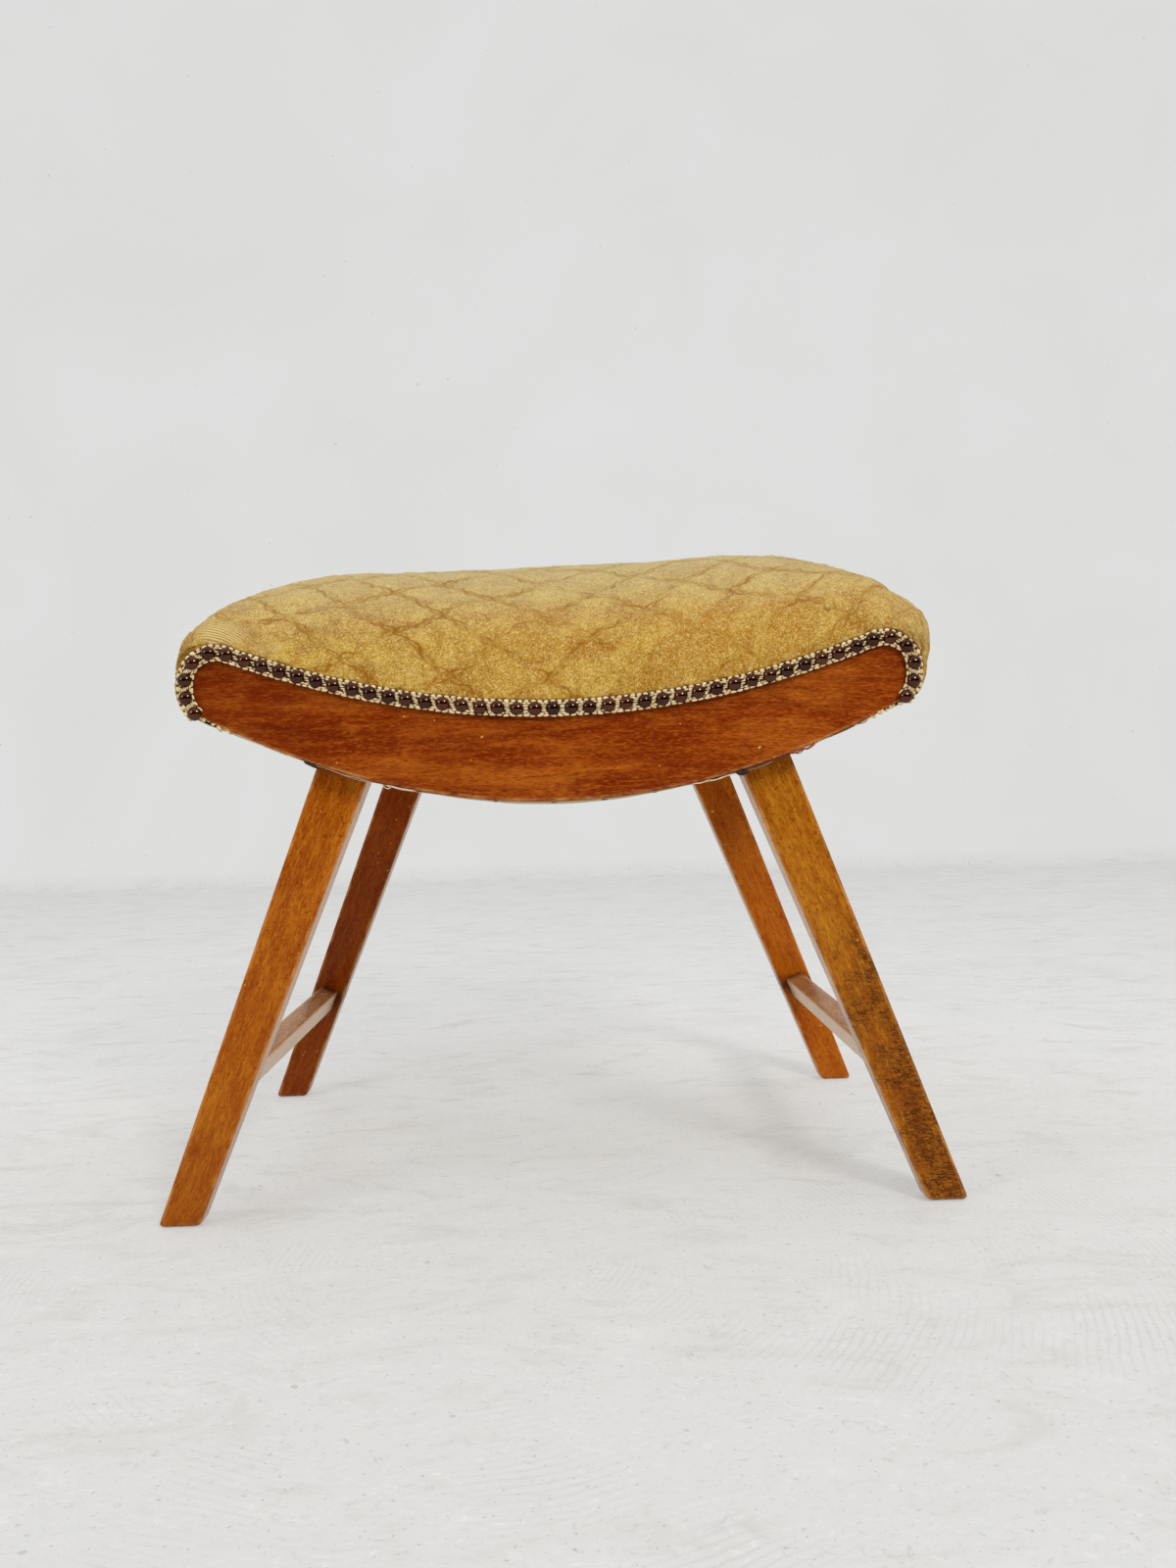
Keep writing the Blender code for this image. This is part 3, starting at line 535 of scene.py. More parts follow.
def woven_cloth(name, warp, weft, gap, threads, depth):
    """A plain weave of warp and weft threads, threads to the metre."""
    cloth = Finish(name, 0.9, warp)
    place = cloth.place()
    warps, wefts = [
        (part_of(cloth.tree, place, axis) * (threads * math.pi)).step("SINE").step("ABSOLUTE")
        for axis in "XY"]
    uneven = cloth.noise(place, 240.0, 4.0, 0.6)
    cloth.coat(weft, warps - wefts, -0.4, 0.4)
    cloth.coat(gap, uneven, 0.35, 0.7, 0.5)
    return cloth.done(warps.step("MAXIMUM", wefts) + uneven, depth, 0.8)


def worn_steel(name, bright, rust):
    """Steel with patches of rust."""
    steel = Finish(name, 0.4, bright, Metallic=0.9)
    patches = steel.noise(steel.place(), 180.0, 5.0, 0.65)
    steel.coat(rust, patches, 0.45, 0.65)
    steel.join(patches.spread(0.4, 0.7, 0.3, 0.7), "Roughness")
    return steel.done(patches, 0.0001, 0.5)


def trellis_lines(velvet, width):
    """Two twisted strands along each side of the diamonds, from 0 to 1, on the flat cloth."""
    tree = velvet.tree
    flat = velvet.place(attribute="cloth")
    wobble = add_node(tree, "ShaderNodeTexNoise", {"Vector": flat, "Scale": 85.0, "Detail": 3.0})
    drift = vector_step(tree, "SUBTRACT", wobble.outputs["Color"], (0.5, 0.5, 0.5))
    drift = vector_step(tree, "SCALE", drift, 0.0085)
    moved = vector_step(tree, "ADD", flat, drift)
    across = (part_of(tree, moved, "X") - TRELLIS_START[0]).step("DIVIDE", TRELLIS_WIDTH)
    up = (part_of(tree, moved, "Y") - TRELLIS_START[1]).step("DIVIDE", 2 * TRELLIS_ROW)
    rising = across + up
    falling = across - up
    lines = None
    for line, along in ((rising, falling), (falling, rising)):
        away = (line - line.step("ROUND")) * TRELLIS_SPACING
        swing = (along * (4 * math.pi)).step("SINE") * 0.0022
        for strand, strength in ((away + swing, 1.0), (away - swing, 0.6)):
            drawn = strand.step("ABSOLUTE").spread(width * 0.3, width, strength, 0.0)
            lines = drawn if lines is None else lines.step("MAXIMUM", drawn)
    return lines


def crushed_velvet():
    """Mustard pile: pressed trellis, brushed patches, thin worn places with their twill, a top painted
    paler as painted sheen with some wear, and painted shade in the folds.
    """
    velvet = Finish(
        "mustard_velvet", 0.9, (158, 104, 4), Specular_IOR_Level=0.1, Sheen_Weight=0.65,
        Sheen_Roughness=0.4, Sheen_Tint=tint((244, 226, 174)))
    press, wear, crown, fresh, crease = [
        velvet.painted(name) for name in ("press", "wear", "crown", "fresh", "crease")]
    place = velvet.place()
    brushed = velvet.noise(place, 34.0, 6.0, 0.64, 1.0)
    clumps = velvet.noise(place, 330.0, 4.0, 0.75, 1.2)
    pile = velvet.noise(place, 900.0, 3.0, 0.8, 0.6)
    ragged = velvet.noise(place, 230.0, 4.0, 0.78, 1.4)
    velvet.coat((204, 165, 64), brushed, 0.38, 0.61)
    # Painted sheen: the top is painted paler, as light from above catches it, with some wear from
    # sitting.
    velvet.coat((204, 186, 138), crown * brushed.spread(0.3, 0.6, 0.7, 1.0))
    velvet.coat((184, 123, 2), fresh * brushed.spread(0.62, 0.38, 0.4, 1.0))
    velvet.coat((222, 198, 122), clumps, 0.5, 0.66, 0.65)
    velvet.coat((146, 98, 10), clumps, 0.48, 0.34, 0.55)
    velvet.coat((124, 84, 12), pile, 0.5, 0.64, 0.6)
    velvet.coat((238, 216, 152), pile, 0.48, 0.36, 0.65)

    band = press.spread(0.1, 0.7) * ragged.spread(0.4, 0.58, 0.0, 0.9)
    band = band * fresh.spread(0.1, 0.9, 1.0, 0.5)
    # The pressed band here and the lines below are also painted paler on the top: the same painted
    # sheen.
    velvet.coat(velvet.mix(crown, (158, 104, 8), (176, 144, 78)), band)
    faded = velvet.noise(place, 48.0, 3.0, 0.6) - fresh * 0.16
    lines = trellis_lines(velvet, 0.0014) * faded.spread(0.34, 0.52)
    lines = lines * wear.spread(0.3, 1.0, 1.0, 0.35)
    velvet.coat(velvet.mix(crown, (146, 88, 2), (158, 120, 50)), lines * 0.85)

    twill = velvet.waves(
        velvet.place((0.53, 1, 1), attribute="cloth"), 255.0, 0.4, 1.0, 3.0,
        wave_type="BANDS", bands_direction="DIAGONAL")
    thin = (wear + clumps.spread(0.3, 0.7, -0.12, 0.12)).spread(0.3, 0.75)
    velvet.coat(velvet.mix(twill, (162, 122, 56), (238, 214, 154)), thin * 0.75)
    # Painted shade: the fine folds round the ends are painted darker, and the same marks dent the
    # relief.
    folds = velvet.noise(velvet.place((1.6, 0.4, 0.22)), 420.0, 2.0, 0.6, 0.4)
    fold_shade_and_dents = crease * folds.spread(0.5, 0.62, 0.0, 0.4)
    velvet.coat((146, 104, 38), fold_shade_and_dents)
    height = pile * 0.6 + clumps + thin * 0.4 * twill - lines * 0.3 - fold_shade_and_dents
    return velvet.done(height, 0.0008, 0.8)


def braid_yarn(name, pale, dark):
    """Cotton yarn, cream or dark brown, each stitch a little different in tone; the dark brown one is
    painted shade between the braid's stitches.
    """
    yarn = Finish(name, 0.85, pale, Specular_IOR_Level=0.3)
    soil = yarn.noise(yarn.place(), 90.0, 4.0, 0.6)
    twist = yarn.noise(yarn.place(), 2600.0, 2.0, 0.6)
    yarn.coat(dark, yarn.painted("tone"), 0.0, 1.0, 0.55)
    yarn.coat(dark, soil, 0.46, 0.75, 0.45)
    yarn.coat((120, 84, 44), twist, 0.45, 0.8, 0.45)
    return yarn.done(twist, 0.0002, 0.7)


def aged_bronze():
    """Dark lacquered bronze nail heads, some of them browner."""
    bronze = Finish(
        "aged_bronze", 0.12, (64, 28, 10), Metallic=1.0, Coat_Weight=0.42, Coat_Roughness=0.06)
    spots = bronze.noise(bronze.place(), 600.0, 4.0, 0.6)
    bronze.coat((94, 50, 26), bronze.painted("tone"), 0.0, 1.0)
    bronze.coat((40, 18, 8), spots, 0.5, 0.7, 0.7)
    bronze.join(spots.spread(0.4, 0.7, 0.1, 0.2), "Roughness")
    return bronze.done(spots, 0.00005, 0.4)


def thread_finish():
    """Frayed cotton: cream where the tone is 0, rusty at a half and black at 1."""
    thread = Finish("frayed_thread", 0.9, (240, 216, 184))
    tone = thread.painted("tone")
    soil = thread.noise(thread.place(), 900.0, 3.0, 0.6)
    thread.coat((146, 66, 42), tone, 0.0, 0.5)
    thread.coat((30, 15, 10), tone, 0.5, 1.0)
    thread.coat((110, 66, 36), soil, 0.45, 0.7, 0.5)
    return thread.done(soil, 0.0003, 0.8)


def plaster():
    """Polished pale plaster with faint trowel marks; it keeps a soft shadow."""
    wall = Finish("pale_plaster", 0.8, (223, 224, 222), Specular_IOR_Level=0.2)
    tree = wall.tree
    place = wall.place()
    clouds = wall.noise(place, 1.6, 5.0, 0.55, 0.6)
    marks = wall.noise(wall.place((1, 2.2, 1)), 9.0, 8.0, 0.7, 1.6)
    specks = wall.noise(place, 60.0, 2.0, 0.5)
    scratches = wall.noise(wall.place((1, 1.5, 1)), 75.0, 5.0, 0.75, 2.2)
    grit = wall.noise(place, 300.0, 2.0, 0.5)
    swept = wall.noise(place, 7.0, 4.0, 0.6).spread(0.5, 0.66, 0.0, 0.4)
    swirls = wall.waves(
        wall.place(shift=(0.063, 0.233, 0)), 60.0, 9.0, 3.0, 0.2,
        wave_type="RINGS", rings_direction="Z")
    on_floor = part_of(tree, place, "Z").spread(0.0, 0.05, 1.0, 0.0)
    farther = part_of(tree, place, "Y").spread(-0.75, 0.3)
    wall.coat((226, 227, 226), clouds, 0.3, 0.7)
    # Painted shade: the floor is painted darker towards the front, where the key light falls brighter
    # on it.
    wall.coat(wall.mix(farther, (214, 214, 213), (231, 231, 230)), on_floor)
    wall.coat((206, 204, 200), marks.spread(0.52, 0.7) * on_floor * 0.6)
    wall.coat((234, 234, 232), marks.spread(0.45, 0.3) * on_floor * 0.4)
    wall.coat((186, 184, 180), scratches.spread(0.57, 0.7, 0.0, 0.5) * on_floor)
    wall.coat((240, 240, 238), scratches.spread(0.43, 0.3, 0.0, 0.5) * on_floor)
    wall.coat((168, 166, 162), specks, 0.735, 0.76, 0.45)
    wall.coat((172, 170, 167), grit.spread(0.66, 0.72, 0.0, 0.5) * on_floor)
    wall.coat((200, 199, 197), swept * on_floor * swirls.spread(0.6, 1.0))
    wall.join(wall.colour, "Base Color")

    glow = add_node(tree, "ShaderNodeEmission", {"Color": wall.colour, "Strength": 1.0})
    rays = add_node(tree, "ShaderNodeLightPath").outputs
    seen = reckon(tree, "MAXIMUM", rays["Is Camera Ray"], rays["Is Glossy Ray"])
    mixed = add_node(tree, "ShaderNodeMixShader", {
        0: seen * on_floor.spread(0.0, 1.0, 0.9, 0.45), 1: wall.shader.outputs[0],
        2: glow.outputs[0]})
    tree.links.new(mixed.outputs[0], tree.nodes["Material Output"].inputs["Surface"])
    return wall.material


# Show rails, legs and stretchers

def rounded_section(low_x, high_x, low_y, high_y, radius, inset, arc_steps=3):
    """A rounded rectangle: its points, and which of them lie on the worn corners."""
    places = []
    worn = []
    corners = ((high_x, high_y), (low_x, high_y), (low_x, low_y), (high_x, low_y))
    for number, (x, y) in enumerate(corners):
        start = number * math.pi / 2
        end = start + math.pi / 2
        curve = arc(
            x - radius if x == high_x else x + radius,
            y - radius if y == high_y else y + radius, radius, start, end, arc_steps)
        places.append(curve[0] + (inset * math.sin(start), -inset * math.cos(start)))
        places += list(curve)
        places.append(curve[-1] + (-inset * math.sin(end), inset * math.cos(end)))
        worn += [0.0] + [1.0] * len(curve) + [0.0]
    return places, worn


def show_rail(face):
    """A crescent board with rounded edges; narrow loops carry the wear along them."""
    top = rim_half(NAIL_MARGIN, RAIL_TUCK_ANGLE)
    under_x = np.linspace(0, top[-1, 0], 400)
    under = np.column_stack([under_x, under_height(under_x)])
    shares = 1 - (1 - np.linspace(0, 1, 150)) ** 1.25
    top, under = [
        both_halves(along_line(line, shares * line_length(line))) for line in (top, under)]
    edge_round, worn_band, least_height = 0.0014, 0.0032, 0.0002
    sections = []
    wear = []
    for high, low in zip(top, under):
        height = np.linalg.norm(high - low)
        up = (high - low) / max(height, 1e-9)
        height = max(height, least_height)
        places, worn = rounded_section(
            RAIL_BACK, RAIL_FRONT, 0, height, min(edge_round, height / 5),
            min(worn_band, height / 5))
        row = [low + up * rise for _, rise in places]
        sections.append([(x, face * depth, z) for (x, z), (depth, _) in zip(row, places)])
        wear += worn
    x, y, z = np.concatenate(sections).T
    shift = 0.4 * (2 + face)
    wooden(
        FACES[face] + "_show_rail", sections, "rail_wood", FACES[face] + "_rail",
        rail_wood[face], edge=wear,
        shade=0.7 * hump(x, -0.215, 0.06) + 0.25 * hump(x, -0.08, 0.05),
        near_top=0.03 - rim_point(x, NAIL_MARGIN) + z,
        grain=np.column_stack([z + shift, y + shift, x]))


def leg(side, face):
    """A tapered, splayed leg with softened edges and a rounded foot."""
    foot_round, top_round, edge_round, worn_band = 0.0045, 0.0016, 0.0017, 0.0026
    low_arc = arc(foot_round, foot_round, foot_round, math.pi, 1.5 * math.pi, 4)
    heights = list(low_arc)
    heights += [(z, 0.0) for z in np.linspace(foot_round, LEG_TOP - top_round, 25)[1:-1]]
    heights += list(arc(LEG_TOP - top_round, top_round, top_round, 1.5 * math.pi, 2 * math.pi, 3))
    shift = 0.31 * (side + 2 * face)
    sections = []
    layers = {"edge": [], "stain": [], "bare": [], "grain": []}
    for z, shrink in heights:
        outer = on_leg(LEG_FOOT_OUTER, LEG_TOP_OUTER, z)
        inner = on_leg(LEG_FOOT_INNER, LEG_TOP_INNER, z)
        places, worn = rounded_section(
            inner + shrink, outer - shrink, leg_back(z) + shrink, LEG_FRONT - shrink,
            edge_round, worn_band)
        sections.append([(side * x, face * y, z) for x, y in places])
        foot_wear = max(0.0, 1 - z / (2 * foot_round))
        layers["edge"] += [max(value, foot_wear) for value in worn]
        low = min(1.0, max(0.0, 1.25 - z / LEG_TOP * 1.9))
        for x, y in places:
            across = (x - leg_middle(z)) * math.cos(LEG_TILT)
            layers["grain"].append((across + shift, y + shift, z / math.cos(LEG_TILT)))
            # The inward face is painted pale: painted reflection of the floor and wall, with some worn
            # varnish.
            layers["bare"].append(max(0.0, 1 - (x - inner - shrink) / PALE_EDGE))
            outwards = (x - inner) / (LEG_FOOT_OUTER - LEG_FOOT_INNER)
            stain = low * (0.6 + 0.4 * outwards) + 0.3 * max(0.0, outwards - 0.6)
            layers["stain"].append(stain)
    place = FACES[face] + "_" + SIDES[side]
    wooden(
        "splayed_leg_" + place, sections, "leg_wood", "leg_" + place, leg_wood[side, face],
        **layers)


def stretcher(side):
    """A square bar between the front and back legs of one end, let into both."""
    let_in, edge_round, worn_band = 0.0005, 0.0013, 0.0022
    shoulder = leg_back(STRETCHER_HEIGHT) + let_in
    half_width = STRETCHER_WIDTH / 2
    half_depth = STRETCHER_DEPTH / 2
    tilt = Matrix.Rotation(-side * LEG_TILT, 3, "Y")
    centre = Vector((side * leg_middle(STRETCHER_HEIGHT), 0, STRETCHER_HEIGHT))
    places, worn = rounded_section(
        -half_width, half_width, -half_depth, half_depth, edge_round, worn_band)
    stations = np.linspace(-shoulder, shoulder, 13)
    # The inward face is painted pale: painted reflection of the floor and wall, with some worn varnish.
    bare = [max(0.0, 1 - (side * across + half_width) / PALE_EDGE) for across, _ in places]
    wooden(
        "square_stretcher_" + SIDES[side],
        [[tuple(centre + tilt @ Vector((across, y, up))) for across, up in places]
         for y in stations],
        "leg_wood", "stretcher_" + SIDES[side], bar_wood[side],
        edge=worn * len(stations), bare=bare * len(stations),
        grain=[(across + side, up + 0.7, y) for y in stations for across, up in places])


# Velvet seat: a pulled dome with a pressed trellis, its skirt behind the braid

ALONG_CELLS = 440
ACROSS_CELLS = 360
TRELLIS_WIDTH = 0.070
TRELLIS_ROW = 0.0263
TRELLIS_START = (-0.006, 0.0155)
TRELLIS_SPACING = 1 / math.hypot(1 / TRELLIS_WIDTH, 1 / (2 * TRELLIS_ROW))

# Rings of the skirt from the widest line to the hem and back up inside: offset from the
# nail line, angle of the tuck at the ends, half depth of the plan, roundness of its corners
SKIRT_RINGS = (
    (0.0103, 0, 0.1972, 0.0118),
    (0.0096, 8, 0.1968, 0.0110),
    (0.0083, 17, 0.1960, 0.0090),
    (0.0068, 26, 0.1951, 0.0060),
    (0.0052, 33, 0.1944, 0.0035),
    (0.0030, 42, 0.1943, 0.0020),
    (0.0012, 52, 0.1942, 0.0012),
    (0.0006, 52, 0.1931, 0.0008),
    (0.0043, 30, 0.1930, 0.0010),
    (0.0047, 2, 0.1928, 0.0012),
    (0.0052, 0, 0.1890, 0.0020),
)
# Then the underside, in ever smaller copies of the last ring
UNDERSIDE_SCALES = (0.985, 0.95, 0.88, 0.75, 0.55, 0.3, 0.06)

# How far the two ends reach out at some heights
END_HEIGHTS = (0.354, 0.362, 0.372, 0.392, 0.412)
LEFT_END_REACH = (0.2510, 0.2550, 0.2585, 0.2600, 0.2550)
RIGHT_END_REACH = (0.2530, 0.2560, 0.2600, 0.2660, 0.2660)

# Spots where the pile has gone: how far, then middle and half width in x, in y and in z
WORN_SPOTS = (
    (1.1, (-0.225, -0.17, 0.417), (0.018, 0.09, 0.010)),
    (0.6, (-0.193, -0.17, 0.407), (0.016, 0.09, 0.008)),
    (0.5, (0.235, -0.15, 0.410), (0.030, 0.09, 0.020)),
)

# The cloth simulation: the step between the grid lines that it runs on, how deep it starts,
# how far a place may move, how many frames it takes, and the cloth's settings
SWELL_EVERY = 5
SWELL_START = 0.004
SWELL_CAP = 0.003
SWELL_FRAMES = 20
SWELL_SETTINGS = {
    "quality": 6, "mass": 0.3, "tension_stiffness": 12, "compression_stiffness": 12,
    "shear_stiffness": 6, "bending_stiffness": 0.6, "shrink_min": -0.012,
    "use_pressure": True, "uniform_pressure_force": 4, "vertex_group_mass": "tacked"}


def even_stations(height, half, count):
    """Places from -half to half, evenly spaced along the dome's profile."""
    place = half * np.sin(np.linspace(0, math.pi / 2, 3000))
    length = running_length(np.column_stack([place, height(place)]))
    even = np.interp(np.linspace(0, length[-1], count // 2 + 1), length, place)
    return np.concatenate([-even[:0:-1], even])


def round_plan(x, y, half_x, half_y, radius):
    """Pull places near the corners of the plan in to rounded corners."""
    past_x = np.abs(x) - (half_x - radius)
    past_y = np.abs(y) - (half_y - radius)
    inside = (past_x <= 0) | (past_y <= 0)
    pull = np.maximum(past_x, past_y) / np.maximum(np.hypot(past_x, past_y), 1e-9)
    new_x = np.where(inside, x, np.copysign(half_x - radius + past_x * pull, x))
    new_y = np.where(inside, y, np.copysign(half_y - radius + past_y * pull, y))
    return new_x, new_y


def soft_hills(places, size, seed, waves=16):
    """Smooth random hills of about unit height, some size metres across."""
    chance = np.random.default_rng(seed)
    total = np.zeros(len(places))
    for _ in range(waves):
        direction = chance.normal(size=places.shape[1])
        direction /= np.linalg.norm(direction)
        rate = 2 * math.pi / size * chance.uniform(0.5, 1.5)
        total += np.cos(places @ direction * rate + chance.uniform(0, 2 * math.pi))
    return total / math.sqrt(waves / 2)


def length_along(points, axis):
    """Running length over a grid of points along one of its axes, from its first line."""
    steps = np.linalg.norm(np.diff(points, axis=axis), axis=-1)
    total = np.cumsum(steps, axis=axis)
    return np.concatenate([np.zeros_like(np.take(total, [0], axis=axis)), total], axis=axis)


def pressed_trellis(cloth):
    """Depth of the pressed twisted lines, from 0 to 1, at places on the flat cloth."""
    across = (cloth[:, 0] - TRELLIS_START[0]) / TRELLIS_WIDTH
    up = (cloth[:, 1] - TRELLIS_START[1]) / (2 * TRELLIS_ROW)
    rising, falling = across + up, across - up
    drift = 0.0006 * soft_hills(cloth, 0.05, 3)
    swing = 0.0021 + 0.0003 * soft_hills(cloth, 0.03, 4)
    depth = np.zeros(len(cloth))
    for number, (line, along) in enumerate(((rising, falling), (falling, rising))):
        away = (line - np.round(line)) * TRELLIS_SPACING + drift
        for strand in (-1, 1):
            middle = strand * swing * np.sin(4 * math.pi * along)
            seed = 41 + strand + 3 * number
            held = np.clip(0.7 + 0.45 * soft_hills(cloth, 0.022, seed), 0.15, 1)
            depth = np.maximum(depth, hump(away * 0.88, middle * 0.88, 0.0016) * held)
        depth = np.maximum(depth, 0.36 * hump(away, 0, 0.0046))
    return depth


def widest_border():
    """Grid places of the dome's border, in order round it, as (along, across) numbers."""
    border = [(along, 0) for along in range(ALONG_CELLS)]
    border += [(ALONG_CELLS, across) for across in range(ACROSS_CELLS)]
    return np.array(border + [(ALONG_CELLS - along, ACROSS_CELLS - across) for along, across in border])


def line_share(x):
    """How far along the widest rim line from the middle to the corner a place lies."""
    places = np.linspace(0, SEAT_WIDEST_X, 4000)
    length = running_length(np.column_stack([places, rim_point(places, SEAT_BULGE_END)]))
    return np.interp(np.abs(x), places, length / length[-1])


def skirt_ring(x, y, offset, angle, half_depth, radius):
    """One ring of the skirt: along the nail line in front, along the tuck at the ends."""
    line = rim_half(offset, math.radians(angle))
    ring_x, ring_z = along_line(line, line_share(x) * line_length(line)).T
    at_end = np.abs(x) > SEAT_WIDEST_X - 1e-7
    ring_x = np.copysign(np.where(at_end, line[-1, 0], ring_x), x)
    ring_z = np.where(at_end, line[-1, 1], ring_z)
    half_x = line[:, 0].max() if radius > 0.004 else line[-1, 0]
    ring_x, ring_y = round_plan(
        ring_x, y / SEAT_WIDEST_Y * half_depth, half_x, half_depth, radius)
    return np.column_stack([ring_x, ring_y, ring_z])


def seat_dome():
    """The dome as in the frame: x and y of its square plan, and its grid of places."""
    along = even_stations(lambda x: cover_height(x, 0.0), SEAT_WIDEST_X, ALONG_CELLS)
    across = even_stations(lambda y: cover_height(0.0, y), SEAT_WIDEST_Y, ACROSS_CELLS)
    x, y = np.meshgrid(along, across, indexing="ij")
    flat_x, flat_y = round_plan(x, y, SEAT_WIDEST_X, SEAT_WIDEST_Y, PLAN_ROUND)
    return x, y, np.stack([flat_x, flat_y, cover_height(x, y)], axis=-1)


def seat_lumps(places):
    """How far the stuffing pushes the velvet out or lets it sink, in metres."""
    x = places[:, 0]
    lumps = 0.0010 * soft_hills(places, 0.16, 11) + 0.0004 * soft_hills(places, 0.05, 12)
    lean = 0.0040 * np.clip(x / 0.2, -1, 1)
    left_end = 0.0086 * hump(x, -0.251, 0.029)
    right_end = 0.0050 * hump(x, 0.250, 0.045) + 0.0030 * hump(x, 0.262, 0.024)
    dip = -0.0038 * hump(x, -0.05, 0.125)
    return lumps + lean + left_end + right_end + dip


def pushed_ends(places):
    """How far the stuffing sets the two ends out or in, in metres along x."""
    x, y, z = places.T
    left = np.interp(z, END_HEIGHTS, LEFT_END_REACH)
    right = np.interp(z, END_HEIGHTS, RIGHT_END_REACH)
    gap = np.clip(np.where(x < 0, left, right) - np.abs(x), -0.007, 0.009)
    round_corner = np.sqrt(1 - ramp(np.abs(y), 0.1820, 0.1935) ** 2)
    return np.sign(x) * gap * ramp(np.abs(x), 0.246, 0.253) * round_corner


def lead_behind_braid(places):
    """Lead the velvet down behind the braid's top edge, in front and at the back."""
    hem, widest, free, braid_top, settled = 0.0012, 0.0103, 0.0453, 0.0060, 0.09
    height = places[:, 2] - rim_point(places[:, 0], 0.0)
    facing = ramp(np.abs(places[:, 1]), 0.175, 0.187) * ramp(np.abs(places[:, 0]), 0.252, 0.237)
    share = np.minimum(ramp(height, hem, widest), ramp(height, free, widest))
    places[:, 2] -= 0.0038 * share * facing
    above_braid = np.maximum(places[:, 2] - rim_point(places[:, 0], braid_top), 0)
    narrower = 0.0085 + 0.0040 * ramp(height, 0, widest)
    places[:, 1] *= 1 - narrower * ramp(above_braid, settled, 0)
    reach = 0.1950 + 0.1 * above_braid
    places[:, 1] = np.clip(places[:, 1], -reach, reach)


def swell(dome):
    """Let the cover swell over its stuffing by cloth simulation; returns each place's move.

    It runs on a coarser grid, and its moves are spread over the lines between.
    """
    coarse = dome[::SWELL_EVERY, ::SWELL_EVERY]
    number = np.arange(coarse[..., 0].size).reshape(coarse.shape[:2])
    mesh = mesh_of(
        "swelling_cover", coarse.reshape(-1, 3), grid_faces(number).reshape(-1, 4).tolist())
    inner = np.ones(number.shape)
    inner[[0, -1], :] = 0
    inner[:, [0, -1]] = 0
    normals = vectors_of(mesh, "normal").reshape(coarse.shape)
    start = coarse - normals * (SWELL_START * inner)[..., None]
    mesh.vertices.foreach_set("co", start.astype(np.float32).ravel())
    mesh.update()
    piece = add_piece("swelling_cover", mesh)
    held = piece.vertex_groups.new(name="tacked")
    held.add([int(place) for place in number[inner == 0]], 1.0, "REPLACE")
    cloth = piece.modifiers.new("swell", "CLOTH")
    for key, value in SWELL_SETTINGS.items():
        setattr(cloth.settings, key, value)
    cloth.settings.effector_weights.gravity = 0
    cloth.collision_settings.use_collision = False
    cloth.point_cache.frame_start = 1
    cloth.point_cache.frame_end = SWELL_FRAMES
    for frame_number in range(1, SWELL_FRAMES + 1):
        SCENE.frame_set(frame_number)
    graph = bpy.context.evaluated_depsgraph_get()
    move = vectors_of(piece.evaluated_get(graph).data).reshape(coarse.shape) - coarse
    SCENE.frame_set(1)
    bpy.data.objects.remove(piece)
    reach = np.linalg.norm(move, axis=-1, keepdims=True)
    move *= np.minimum(1, SWELL_CAP / np.maximum(reach, 1e-9))
    return spread_moves(spread_moves(move, 0), 1)


def spread_moves(values, axis):
    """Fill in the grid lines between coarse ones with smooth curves."""
    values = np.moveaxis(values, axis, 0)
    ends = np.concatenate([2 * values[:1] - values[1:2], values, 2 * values[-1:] - values[-2:-1]])
    rows = []
    for start in range(len(values) - 1):
        before, first, second, after = ends[start:start + 4]
        for step in range(SWELL_EVERY):
            share = step / SWELL_EVERY
            rows.append(0.5 * (
                2 * first + (second - before) * share
                + (2 * before - 5 * first + 4 * second - after) * share ** 2
                + (3 * first - before - 3 * second + after) * share ** 3))
    rows.append(values[-1])
    return np.moveaxis(np.array(rows), 0, axis)


def corner_pleats(places):
    """Creases that run down to the four corners of the seat."""
    push = np.zeros(len(places))
    for side, face in CORNERS:
        x, y, z = (places - np.array([side * 0.252, face * 0.186, 0.383])).T
        angle = np.arctan2(z, np.abs(x) * 0.7 - y * face)
        reach = np.sqrt(x ** 2 + y ** 2 + z ** 2)
        push += 0.0013 * hump(reach, 0.024, 0.016) * np.sin(angle * 11 + side + face)
    return push


def fresh_places(points):
    """Where the pile keeps its deep mustard: low on the front, most of all towards the right."""
    x, _, z = points.T
    patches = hump(x, 0.14, 0.09) + 0.55 * hump(x, -0.02, 0.07)
    return np.clip(ramp(z, 0.445, 0.415) * patches, 0, 1)


def creased_places(points):
    """Where the velvet is drawn in fine folds, which its finish dents and paints darker as shade: round
    the two ends, above the braid.
    """
    x, _, z = points.T
    return hump(np.abs(x), 0.254, 0.012) * hump(z, 0.395, 0.024)


def worn_places(points):
    """Where the pile has gone: spots on the front, and the corners of both ends."""
    wear = 0.3 * hump(np.abs(points[:, 0]), 0.258, 0.010) * (points[:, 2] > 0.37)
    for amount, middle, half_width in WORN_SPOTS:
        wear += amount * np.prod(hump(points, np.array(middle), np.array(half_width)), axis=1)
    return np.clip(wear, 0, 1)


